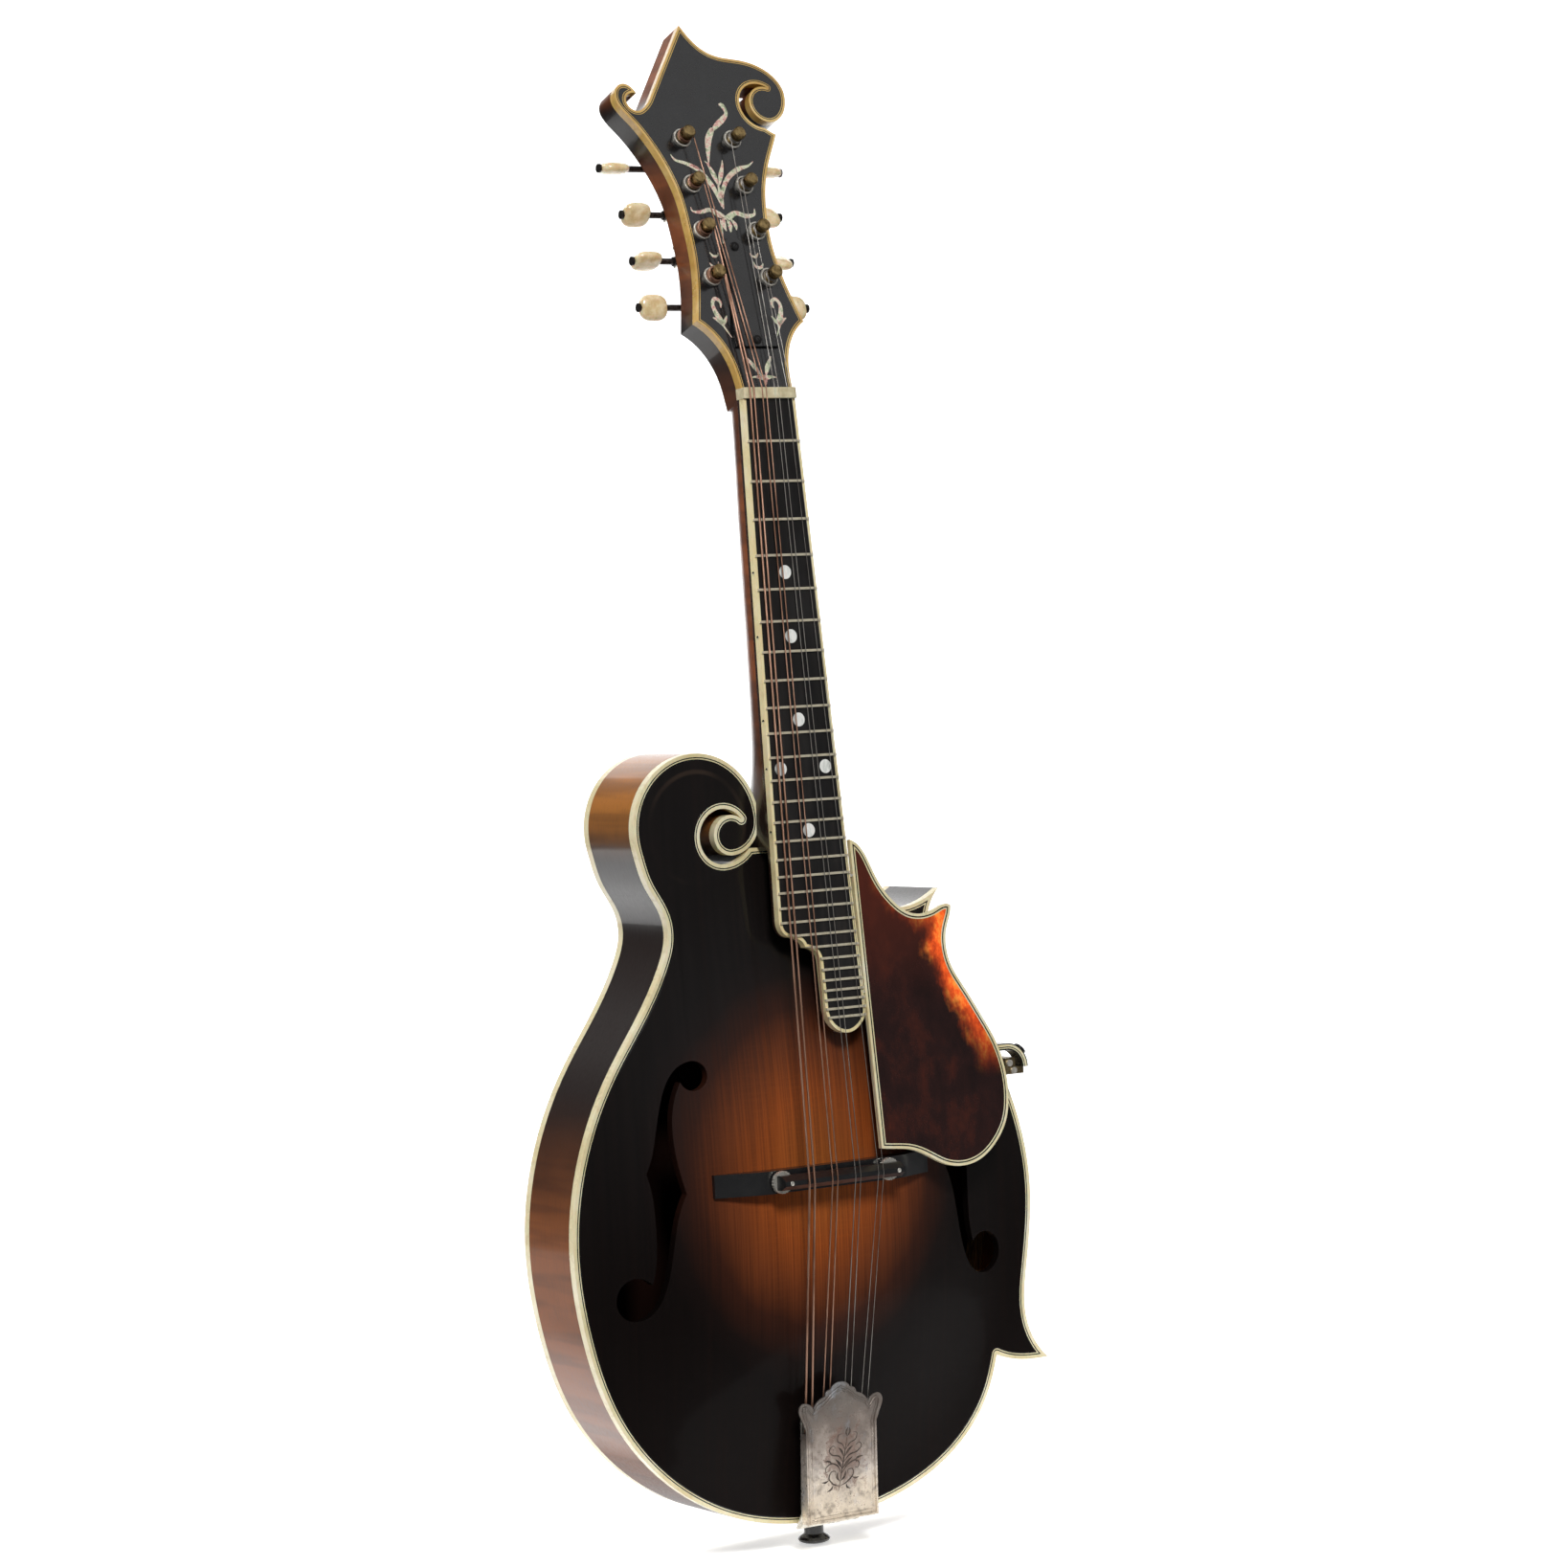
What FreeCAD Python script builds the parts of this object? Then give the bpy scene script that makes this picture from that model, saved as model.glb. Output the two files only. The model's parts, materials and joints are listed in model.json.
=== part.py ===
"""A scroll-bodied carved-top mandolin, built as the luthier assembles it.

Row frame, millimetres: +Z up along the body towards the peghead, +X to the treble side, the face
looks towards -Y.  The origin is the middle of the end pin's neck, on the instrument's centre line.
Two tilted frames are used as well.  The neck frame has its origin where the fingerboard's surface
meets the nut, Y up the neck and Z out of the fingerboard.  The head frame has the same origin,
Y up the peghead and Z out of the peghead's face.
"""

import FreeCAD, Part
import Sketcher
import math
import os
from FreeCAD import Placement, Rotation, Vector

doc = FreeCAD.newDocument("Mandolin")

# ---------------------------------------------------------------- driving dimensions

SIZES = (
    ("scale_length", 352.4, "nut to saddle, before compensation"),
    ("joint_fret", 15, "fret over the body joint"),
    ("nut_y", -7.0, "fingerboard surface at the nut, row Y"),
    ("nut_z", 524.5, "front edge of the nut, row Z"),
    ("neck_angle", 4.7, "fingerboard tilt from the body plane, degrees"),
    ("head_angle", 19.2, "peghead tilt from the body plane, degrees"),
    ("board_width", 28.3, "fingerboard width at the nut"),
    ("board_taper", 0.056, "fingerboard widening per millimetre"),
    ("board_thick", 5.5, "fingerboard thickness"),
    ("board_bind", 1.5, "fingerboard binding width"),
    ("fret_width", 1.1, "fret crown width"),
    ("fret_height", 1.0, "fret crown height"),
    ("dot_radius", 3.2, "front position dot"),
    ("side_dot_radius", 0.9, "side position dot"),
    ("nut_long", 5.0, "nut, along the neck"),
    ("nut_rise", 1.9, "nut above the fingerboard surface"),
    ("nut_wide", 28.8, "nut width"),
    ("rim_front", -9.0, "front edge of the body, row Y"),
    ("rim_depth", 44.0, "body depth at the edge"),
    ("plate_thick", 4.2, "carved plate thickness"),
    ("top_arch", 15.5, "rise of the top's arch"),
    ("back_arch", 12.5, "rise of the back's arch"),
    ("rib_thick", 2.2, "rib thickness"),
    ("body_bind", 1.7, "body binding width"),
    ("line_wide", 0.5, "purfling line width on the body"),
    ("line_deep", 2.0, "purfling depth"),
    ("lining_wide", 5.0, "lining width"),
    ("lining_tall", 6.5, "lining height"),
    ("joint_z", 318.3, "body edge at the neck joint, row Z"),
    ("head_thick", 13.0, "peghead wood, without its face veneer"),
    ("veneer_thick", 2.0, "peghead face veneer"),
    ("head_bind", 1.2, "peghead binding width"),
    ("head_bind_tall", 4.0, "peghead binding height"),
    ("head_line", 0.4, "purfling line width on the peghead"),
    ("post_radius", 3.1, "tuner post"),
    ("post_rise", 9.0, "tuner post above the peghead face"),
    ("post_hole", 3.4, "peghead hole for a post"),
    ("bushing_radius", 4.6, "post bushing rim"),
    ("first_post", 60.9, "lowest post from the nut"),
    ("post_spacing", 23.6, "between posts"),
    ("gear_radius", 4.7, "tuner gear"),
    ("gear_thick", 2.6, "tuner gear"),
    ("worm_offset", 7.0, "worm axis below the post axis"),
    ("worm_drop", 3.6, "worm axis behind the peghead's back"),
    ("worm_radius", 2.2, "worm outside"),
    ("shaft_radius", 1.5, "worm shaft"),
    ("plate_sheet", 1.2, "tuner plate thickness"),
    ("button_long", 7.9, "button half length"),
    ("button_broad", 6.3, "button half breadth"),
    ("button_thin", 2.7, "button half thickness"),
    ("button_cap", 2.1, "cap on the outer end of a worm shaft"),
    ("bridge_z", 166.8, "bridge centre, row Z"),
    ("bridge_half", 59.0, "bridge base half length"),
    ("bridge_thick", 10.5, "bridge base along the strings"),
    ("bridge_rise", 21.2, "top of the bridge base in front of the rim"),
    ("stud_x", 29.5, "bridge stud from the centre line"),
    ("stud_radius", 1.6, "bridge stud"),
    ("wheel_radius", 5.2, "thumbwheel"),
    ("wheel_thick", 2.0, "thumbwheel"),
    ("wheel_rise", 22.5, "underside of the thumbwheels in front of the rim"),
    ("saddle_half", 33.0, "saddle half length"),
    ("saddle_top", 32.0, "saddle top in front of the rim"),
    ("cover_half", 19.5, "tailpiece cover half width"),
    ("cover_sheet", 0.8, "tailpiece cover metal"),
    ("cover_tilt", 2.3, "tailpiece cover tilt, degrees"),
    ("cover_y", -25.6, "tailpiece cover face at its foot, row Y"),
    ("cover_z", 7.0, "foot of the tailpiece cover, row Z"),
    ("pin_radius", 4.6, "end pin neck"),
    ("pin_neck", 5.2, "end pin neck length"),
    ("pin_cap", 7.7, "end pin cap"),
    ("pin_shank", 3.0, "end pin shank"),
    ("guard_thick", 1.6, "pickguard sheet"),
    ("guard_drop", 2.0, "pickguard face below the fingerboard surface"),
    ("guard_bind", 1.3, "pickguard binding width"),
    ("guard_line", 0.6, "purfling line width on the pickguard"),
    ("rod_radius", 2.4, "truss rod"),
    ("rod_drop", 14.5, "truss rod axis below the fingerboard surface"),
    ("rod_nut_radius", 3.3, "truss rod nut"),
    ("rod_nut_long", 8.0, "truss rod nut"),
)

sheet = doc.addObject("Spreadsheet::Sheet", "Sizes")
for row, (alias, value, note) in enumerate(SIZES, 1):
    sheet.set(f"A{row}", note)
    sheet.set(f"B{row}", str(value))
    sheet.setAlias(f"B{row}", alias)
doc.recompute()


def size(alias):
    """The value of one cell of the sheet."""
    return float(sheet.get(alias))


# ---------------------------------------------------------------- frames

X, Y, Z = Vector(1, 0, 0), Vector(0, 1, 0), Vector(0, 0, 1)
NUT = Vector(0, size("nut_y"), size("nut_z"))
NECK = Placement(NUT, Rotation(X, 90 - size("neck_angle")))
HEAD = Placement(NUT, Rotation(X, 90 - size("head_angle")))
COVER_PLACE = Placement(
    Vector(0, size("cover_y"), size("cover_z")), Rotation(X, 90 + size("cover_tilt"))
)
RIM = size("rim_front")
BACK = RIM + size("rim_depth")
SHEET = size("plate_thick")
JOINT = size("joint_z")
BRIDGE_Z = size("bridge_z")
HEAD_BACK = -(size("head_thick") + size("veneer_thick"))


def board_down(z):
    """Distance from the nut along the fingerboard to the height z of its surface."""
    return (size("nut_z") - z) / math.cos(math.radians(size("neck_angle")))


def board_half(down):
    """Half width of the bound fingerboard at a distance from the nut."""
    return (size("board_width") + size("board_taper") * down) / 2


def fret_down(number):
    """Distance of a fret from the nut."""
    return size("scale_length") * (1 - 2 ** (-number / 12))


# ---------------------------------------------------------------- nodes and small helpers

nodes = {}


def keep(label, obj):
    """Names a finished sub-part: the label is the node's name and its file's name."""
    obj.Label = label
    nodes[label] = obj
    return obj


def feature(label, shape, placement=None):
    """A sub-part whose shape comes from Part's own functions."""
    obj = doc.addObject("Part::Feature", "Shape_" + label)
    obj.Shape = shape
    if placement is not None:
        obj.Placement = placement
    return keep(label, obj)


def bind(obj, **properties):
    """Binds properties to expressions on the sheet."""
    for name, expression in properties.items():
        obj.setExpression(name, expression)
    return obj


def cylinder(radius, height, at, axis=Z):
    """A Part::Cylinder whose radius and height are expressions."""
    obj = doc.addObject("Part::Cylinder", "Cylinder")
    bind(obj, Radius=radius, Height=height)
    obj.Placement = Placement(at, Rotation(Z, axis))
    return obj


def box(length, width, height, at):
    """A Part::Box whose sizes are expressions."""
    obj = doc.addObject("Part::Box", "Box")
    bind(obj, Length=length, Width=width, Height=height)
    obj.Placement = Placement(at, Rotation())
    return obj


def group(label, parts, placement=None):
    """Separate solids that share one node."""
    obj = doc.addObject("Part::Compound", "Group")
    obj.Links = parts
    if placement is not None:
        obj.Placement = placement
    return keep(label, obj)


def fused(parts):
    obj = doc.addObject("Part::MultiFuse", "Fuse")
    obj.Shapes = parts
    return obj


def cut(base, tool):
    obj = doc.addObject("Part::Cut", "Cut")
    obj.Base = base
    obj.Tool = tool
    return obj


def origin_item(body, role):
    """One of the planes and axes of a body's origin."""
    for item in body.Origin.OriginFeatures:
        if item.Role == role:
            return item
    raise ValueError(role)


def new_body(name, placement=None):
    body = doc.addObject("PartDesign::Body", name)
    if placement is not None:
        body.Placement = placement
    return body


def new_sketch(body, role):
    sketch = body.newObject("Sketcher::SketchObject", "Sketch")
    sketch.AttachmentSupport = [(origin_item(body, role), "")]
    sketch.MapMode = "FlatFace"
    return sketch


def fix(sketch, constraint, name, expression):
    """Adds a dimension and binds it to the sheet."""
    index = sketch.addConstraint(Sketcher.Constraint(*constraint))
    sketch.renameConstraint(index, name)
    sketch.setExpression("Constraints." + name, expression)


def draw_circle(sketch, x, y, name, radius):
    """A circle with its centre locked and its radius bound."""
    index = sketch.addGeometry(Part.Circle(Vector(x, y, 0), Z, 1.0), False)
    sketch.addConstraint(Sketcher.Constraint("DistanceX", -1, 1, index, 3, x))
    sketch.addConstraint(Sketcher.Constraint("DistanceY", -1, 1, index, 3, y))
    fix(sketch, ("Radius", index, 1.0), name, radius)
    return index


def draw_loop(sketch, points):
    """A closed loop of straight lines through the points."""
    count = len(points)
    for i in range(count):
        a = Vector(*points[i], 0)
        b = Vector(*points[(i + 1) % count], 0)
        sketch.addGeometry(Part.LineSegment(a, b), False)
    for i in range(count):
        sketch.addConstraint(Sketcher.Constraint("Coincident", i, 2, (i + 1) % count, 1))
        sketch.addConstraint(Sketcher.Constraint("Block", i))


def pad(body, sketch, length):
    """A pad of bound length out of the sketch's plane."""
    obj = body.newObject("PartDesign::Pad", "Pad")
    obj.Profile = sketch
    bind(obj, Length=length)
    return obj


# ---------------------------------------------------------------- curves in a plane


def at(x, z, y=0.0):
    """A point of an outline drawn on the body plane."""
    return Vector(x, y, z)


def flat(x, y):
    """A point of an outline drawn on a tilted frame's XY plane."""
    return Vector(x, y, 0)


def arc(point, centre, radius, start, end):
    """A circular arc between two angles in degrees."""
    spots = []
    for angle in (start, (start + end) / 2, end):
        turn = math.radians(angle)
        spots.append(
            point(centre[0] + radius * math.cos(turn), centre[1] + radius * math.sin(turn))
        )
    return Part.Arc(*spots).toShape()


def curve(point, spots, start=None, end=None):
    """A smooth curve through the spots, with end directions when they matter."""
    line = Part.BSplineCurve()
    through = [point(*spot) for spot in spots]
    if start is None:
        line.interpolate(Points=through)
    else:
        line.interpolate(Points=through, InitialTangent=point(*start).normalize(),
                         FinalTangent=point(*end).normalize(), Scale=False)
    return line.toShape()


def straight(a, b):
    return Part.LineSegment(a, b).toShape()


def face_of(edges):
    """The flat face inside a closed chain of edges."""
    return Part.Face(Part.Wire(Part.__sortEdges__(edges)))


def polygon(point, spots):
    corners = [point(*spot) for spot in spots]
    corners.append(corners[0])
    return Part.Face(Part.makePolygon(corners))


def walk(wire):
    """The edges of a wire in walking order: kind, points and directions of each."""
    pieces = []
    for edge in wire.OrderedEdges:
        kind = type(edge.Curve).__name__
        count = {"Line": 2, "Circle": 3}.get(kind, max(9, int(edge.Length / 4)))
        first, last = edge.ParameterRange
        steps = [first + (last - first) * k / (count - 1) for k in range(count)]
        spots = [edge.valueAt(step) for step in steps]
        ways = [edge.tangentAt(step) for step in steps]
        if edge.Orientation == "Reversed":
            spots.reverse()
            ways = [way.negative() for way in reversed(ways)]
        pieces.append((kind, spots, ways))
    return pieces


def geometry(kind, spots, first, last):
    """A curve of one kind through the points."""
    if kind == "Line":
        return Part.LineSegment(spots[0], spots[-1])
    if kind == "Circle":
        return Part.Arc(spots[0], spots[len(spots) // 2], spots[-1])
    line = Part.BSplineCurve()
    line.interpolate(Points=spots, InitialTangent=first, FinalTangent=last, Scale=False)
    return line


def inset(face, distance):
    """The face drawn in from its outer edge: inner corners stay sharp, outer ones go round."""
    pieces = walk(face.OuterWire)
    loop = [spot for _, spots, _ in pieces for spot in spots[:-1]]
    area = Vector()
    for i, spot in enumerate(loop):
        area += spot.cross(loop[(i + 1) % len(loop)])
    up = area.normalize()
    curves = []
    for kind, spots, ways in pieces:
        moved = [p + up.cross(way).normalize().multiply(distance) for p, way in zip(spots, ways)]
        curves.append((kind, geometry(kind, moved, ways[0], ways[-1]), len(spots), moved))
    starts = [entry[3][0] for entry in curves]
    ends = [entry[3][-1] for entry in curves]
    rounds = []
    for i, (_, line, _, moved) in enumerate(curves):
        j = (i + 1) % len(curves)
        corner = pieces[i][1][-1]
        if (ends[i] - starts[j]).Length < 0.05:
            ends[i] = starts[j]
            continue
        hits = [Vector(p.X, p.Y, p.Z) for p in line.intersectCC(curves[j][1])]
        if hits:
            ends[i] = starts[j] = min(hits, key=lambda hit: (hit - corner).Length)
            continue
        lean = (ends[i] - corner) + (starts[j] - corner)
        middle = corner + lean.normalize().multiply(distance)
        rounds.append(Part.Arc(ends[i], middle, starts[j]).toShape())
    edges = []
    for (kind, line, count, _), start, end in zip(curves, starts, ends):
        first, last = line.parameter(start), line.parameter(end)
        steps = [first + (last - first) * k / (count - 1) for k in range(count)]
        spots = [start] + [line.value(step) for step in steps[1:-1]] + [end]
        edges.append(geometry(kind, spots, line.tangent(first)[0], line.tangent(last)[0]).toShape())
    return face_of(edges + rounds)


def through(face, start, depth):
    """A body-plane face made solid from row Y start, depth towards the back."""
    moved = face.copy()
    moved.translate(Vector(0, start, 0))
    return moved.extrude(Vector(0, depth, 0))


def thick(face, low, high):
    """A tilted-frame face made solid between two heights."""
    moved = face.copy()
    moved.translate(Vector(0, 0, low))
    return moved.extrude(Vector(0, 0, high - low))


def mirrored(shape):
    """The same shape on the other side of the centre line."""
    return shape.mirror(Vector(0, 0, 0), X)


def moved_to(placement, shape):
    """The shape as it stands after its frame has been moved."""
    result = shape.copy()
    result.Placement = placement.multiply(result.Placement)
    return result


def compound(shapes):
    return Part.makeCompound(list(shapes))


def rod(a, b, radius):
    """A round bar between two points."""
    return Part.makeCylinder(radius, (b - a).Length, a, b - a)


def block(x0, x1, y0, y1, z0, z1):
    return Part.makeBox(x1 - x0, y1 - y0, z1 - z0, Vector(x0, y0, z0))


# ---------------------------------------------------------------- body outline

SCROLL = (-51.5, 329.4)
SCROLL_R = 33.9
CURL = (-33.4, 331.3)
CURL_R = 15.7
BUTTON = (-33.3, 324.9)
BUTTON_R = 9.3
SLOT = (-37.6, 324.5)
SLOT_R = 12.75
CURL_TURN = 6.0
SHOULDER_TURN = 195.0
LOWER_TIP = (133.0, 63.8)
LOWER_NOTCH = (102.9, 68.7)
UPPER_TIP = (81.0, 293.0)
HEEL_HALF = 14.3

BASS_SIDE = (
    (-79.0, 304.5), (-71.3, 291.0), (-69.6, 280.5), (-73.5, 267.5), (-86.9, 244.5), (-103.0, 221.5),
    (-119.0, 188.5), (-126.9, 146.0), (-122.5, 104.5), (-108.7, 65.0), (-85.4, 35.5),
    (-48.8, 12.8), (0.0, 4.5),
)
TREBLE_TAIL = ((0.0, 4.5), (48.8, 12.8), (85.4, 35.5), (97.5, 53.0), LOWER_NOTCH)
LOWER_POINT = (LOWER_NOTCH, (111.0, 65.6), (121.0, 64.0), LOWER_TIP)
TREBLE_SIDE = (
    LOWER_TIP, (126.0, 72.0), (121.7, 82.0), (120.5, 92.0), (122.5, 108.0), (126.9, 146.0),
    (119.0, 188.5), (103.0, 221.5), (86.9, 244.5), (76.4, 263.0), (73.6, 276.0), (75.6, 285.0),
    UPPER_TIP,
)
UPPER_CURVE = (
    UPPER_TIP, (73.0, 288.6), (64.0, 285.8), (55.0, 285.4), (46.0, 288.4), (38.0, 294.6),
    (31.0, 303.5), (23.0, 312.8), (HEEL_HALF, JOINT),
)


def circle_meeting(a, ra, b, rb):
    """The upper of the two points where two circles cross."""
    dx, dy = b[0] - a[0], b[1] - a[1]
    gap = math.hypot(dx, dy)
    along = (ra * ra - rb * rb + gap * gap) / (2 * gap)
    aside = math.sqrt(ra * ra - along * along)
    ux, uy = dx / gap, dy / gap
    return a[0] + along * ux - aside * uy, a[1] + along * uy + aside * ux


def bearing(centre, spot):
    return math.degrees(math.atan2(spot[1] - centre[1], spot[0] - centre[0]))


def on_circle(centre, radius, angle):
    turn = math.radians(angle)
    return centre[0] + radius * math.cos(turn), centre[1] + radius * math.sin(turn)


def body_outline():
    """The edge of the body: slot, scroll, bass side, tail, points, treble side."""
    slot_tip = circle_meeting(SLOT, SLOT_R, BUTTON, BUTTON_R)
    slot_foot = on_circle(SLOT, SLOT_R, 270)
    curl_start = on_circle(BUTTON, BUTTON_R, 270)
    curl_end = on_circle(SCROLL, SCROLL_R, CURL_TURN)
    curl_middle = on_circle(CURL, CURL_R, -45)
    shoulder = on_circle(SCROLL, SCROLL_R, SHOULDER_TURN)
    lean = math.radians(SHOULDER_TURN)
    mouth = (-24.8, 316.9)
    corner = (-23.6, JOINT)
    edges = [
        straight(at(-HEEL_HALF, JOINT), at(*corner)),
        straight(at(*corner), at(*mouth)),
        Part.Arc(at(*mouth), at(-31.0, 313.0), at(*slot_foot)).toShape(),
        arc(at, SLOT, SLOT_R, 270, bearing(SLOT, slot_tip)),
        arc(at, BUTTON, BUTTON_R, bearing(BUTTON, slot_tip), 270),
        Part.Arc(at(*curl_start), at(*curl_middle), at(*curl_end)).toShape(),
        arc(at, SCROLL, SCROLL_R, CURL_TURN, SHOULDER_TURN),
        curve(at, (shoulder,) + BASS_SIDE, (-math.sin(lean), math.cos(lean)), (1, 0)),
        curve(at, TREBLE_TAIL, (1, 0), (0.28, 1)),
        curve(at, LOWER_POINT),
        curve(at, TREBLE_SIDE),
        curve(at, UPPER_CURVE),
        straight(at(HEEL_HALF, JOINT), at(-HEEL_HALF, JOINT)),
    ]
    return face_of(edges)


OUTLINE = body_outline()
PLATE_OUTLINE = inset(OUTLINE, size("body_bind"))
INSIDE = inset(OUTLINE, size("rib_thick"))


def line_rings(face, start, width, count=3):
    """Narrow rings side by side, the first one starting a given distance in from the edge."""
    edges = [inset(face, start + i * width) for i in range(count + 1)]
    return [outer.cut(inner) for outer, inner in zip(edges, edges[1:])]


BODY_LINES = line_rings(OUTLINE, size("body_bind"), size("line_wide"))

# ---------------------------------------------------------------- carved plates

ARCH_HALF = 118.0
ARCH_MIDDLE = 145.0
ARCH_DOWN = 138.0
ARCH_UP = 168.0
HEEL_CAP = 8.0
RIB_TOP = RIM + SHEET
RIB_BOTTOM = BACK - SHEET


def arch(x, z, rise):
    """Height of a carved arch: full in the middle, hollowed towards the edge."""
    reach = ARCH_UP if z > ARCH_MIDDLE else ARCH_DOWN
    r2 = (x / ARCH_HALF) ** 2 + ((z - ARCH_MIDDLE) / reach) ** 2
    if r2 >= 1:
        return 0.0
    return rise * (1 - r2) ** 2 * (1 + r2)


def arch_face(rise, edge, side):
    """The carved surface over a rectangle wider than the body; side -1 is the front."""
    columns, rows = 36, 48
    left, right, low, high = -144.0, 144.0, -8.0, 376.0
    grid = []
    for i in range(columns + 1):
        x = left + (right - left) * i / columns
        line = []
        for j in range(rows + 1):
            z = low + (high - low) * j / rows
            line.append(Vector(x, edge + side * arch(x, z, rise), z))
        grid.append(line)
    surface = Part.BSplineSurface()
    surface.interpolate(grid)
    return surface.toShape()


TOP_FACE = arch_face(size("top_arch"), RIM, -1)
UNDER_TOP = arch_face(size("top_arch"), RIM + SHEET, -1)
BACK_FACE = arch_face(size("back_arch"), BACK - SHEET, 1)

# The eyes and the winged stem of one sound hole, on the bass side.
EYE_UPPER = (-63.8, 217.5, 6.8)
EYE_LOWER = (-96.6, 118.8, 9.8)
STEM_OUTER = (
    (-63.5, 224.2), (-70.5, 222.3), (-76.5, 216.0), (-80.5, 206.5), (-83.5, 194.5),
    (-85.8, 184.5), (-89.5, 175.3),
)
STEM_OUTER_LOW = ((-89.5, 175.3), (-87.2, 164.5), (-86.5, 150.0), (-87.0, 134.5), (-88.9, 125.4))
STEM_INNER = (
    (-96.5, 109.1), (-90.5, 110.6), (-86.5, 114.5), (-83.7, 119.5), (-81.5, 126.0), (-79.5, 135.0),
    (-76.4, 151.5), (-71.3, 164.5),
)
STEM_INNER_UP = ((-71.3, 164.5), (-74.6, 178.5), (-75.9, 190.0), (-74.6, 204.5), (-70.2, 215.0))


def sound_hole():
    """A cutter for the bass sound hole."""
    stem = face_of([
        curve(at, STEM_OUTER),
        curve(at, STEM_OUTER_LOW),
        straight(at(*STEM_OUTER_LOW[-1]), at(*STEM_INNER[0])),
        curve(at, STEM_INNER),
        curve(at, STEM_INNER_UP),
        straight(at(*STEM_INNER_UP[-1]), at(*STEM_OUTER[0])),
    ])
    cutter = through(stem, RIM - 30, 50)
    for x, z, radius in (EYE_UPPER, EYE_LOWER):
        cutter = cutter.fuse(Part.makeCylinder(radius, 50, at(x, z, RIM - 30), Y))
    return cutter


def top_plate():
    slab = TOP_FACE.extrude(Vector(0, SHEET, 0))
    plate = slab.common(through(PLATE_OUTLINE, RIM - 30, 60))
    hole = sound_hole()
    for ring in BODY_LINES:
        plate = plate.cut(through(ring, RIM - 1, size("line_deep") + 1))
    return plate.cut(hole).cut(mirrored(hole))


HEEL_BUTTON = through(face_of([
    straight(at(HEEL_CAP, JOINT), at(HEEL_CAP, JOINT - 4)),
    straight(at(HEEL_CAP, JOINT - 4), at(-HEEL_CAP, JOINT - 4)),
    straight(at(-HEEL_CAP, JOINT - 4), at(-HEEL_CAP, JOINT)),
    Part.Arc(at(-HEEL_CAP, JOINT), at(0, JOINT + HEEL_CAP), at(HEEL_CAP, JOINT)).toShape(),
]), BACK - SHEET, SHEET)


def back_plate():
    slab = BACK_FACE.extrude(Vector(0, SHEET, 0))
    plate = slab.common(through(PLATE_OUTLINE, BACK - 30, 60))
    return plate.fuse(HEEL_BUTTON).removeSplitter()


def bindings():
    """Front and back binding flush with the ribs, and the light line let into the top."""
    ring = OUTLINE.cut(PLATE_OUTLINE)
    front = through(ring, RIM, SHEET)
    back = through(ring, BACK - SHEET, SHEET)
    heel_gap = block(-HEEL_CAP, HEEL_CAP, BACK - SHEET - 1, BACK + 1, JOINT - 3, JOINT + 1)
    line = through(BODY_LINES[1], RIM, size("line_deep"))
    return compound([front, back.cut(heel_gap), line])


feature("top_plate", top_plate())
feature("back_plate", back_plate())
feature("body_bindings", bindings())

# ---------------------------------------------------------------- ribs, blocks, linings, bars

PIN_HOLE = Part.makeCylinder(size("pin_shank") + 0.05, 30, Vector(0, 0, -5), Z)
RIB_DEPTH = RIB_BOTTOM - RIB_TOP
DOVETAIL = through(
    polygon(at, ((-8, JOINT + 6), (8, JOINT + 6), (8, JOINT), (11, JOINT - 15), (-11, JOINT - 15),
                 (-8, JOINT))),
    RIB_TOP, 28,
)
WALLS = through(OUTLINE.cut(INSIDE), RIB_TOP, RIB_DEPTH).cut(DOVETAIL)
FILLING = through(INSIDE, RIB_TOP, RIB_DEPTH)
RIB_SPLIT = 300.0


def region(spots):
    return through(polygon(at, spots), RIB_TOP - 1, RIB_DEPTH + 2)


UPPER_REGION = region(((0, 400), (150, 400), (150, 360), UPPER_TIP, (58, 271.6), (0, 271.6)))
LOWER_REGION = region(((0, -20), (150, -20), (150, LOWER_TIP[1]), LOWER_TIP, (112, 71.6),
                       (95, 76), (0, 76)))
BASS_REGION = region(((0, -20), (0, RIB_SPLIT), (-150, RIB_SPLIT), (-150, -20)))
SCROLL_REGION = region(((0, RIB_SPLIT), (0, 400), (-150, 400), (-150, RIB_SPLIT)))


def ribs():
    """Five bent pieces: bass side, scroll, and three on the treble side."""
    treble = WALLS.common(region(((0, -20), (150, -20), (150, 400), (0, 400))))
    upper = treble.common(UPPER_REGION)
    lower = treble.common(LOWER_REGION)
    waist = treble.cut(UPPER_REGION).cut(LOWER_REGION)
    feature("rib_bass", WALLS.common(BASS_REGION).cut(PIN_HOLE))
    feature("rib_scroll", WALLS.common(SCROLL_REGION))
    feature("ribs_treble", compound([upper, waist, lower.cut(PIN_HOLE)]))


ribs()

HEAD_BLOCK_AREA = region(((-100, 296), (-30, 286), (48, 286), (48, 400), (-100, 400)))
TAIL_BLOCK_AREA = region(((-36, 0), (36, 0), (36, 25), (-36, 25)))
UPPER_BLOCK_AREA = region(((58, 300), (58, 274), (90, 274), (90, 300)))
LOWER_BLOCK_AREA = region(((103.5, 50), (103.5, 92), (140, 92), (140, 50)))

END_BLOCKS = [
    FILLING.common(HEAD_BLOCK_AREA).cut(DOVETAIL),
    FILLING.common(TAIL_BLOCK_AREA).cut(PIN_HOLE),
    FILLING.common(UPPER_BLOCK_AREA),
    FILLING.common(LOWER_BLOCK_AREA),
]


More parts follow.
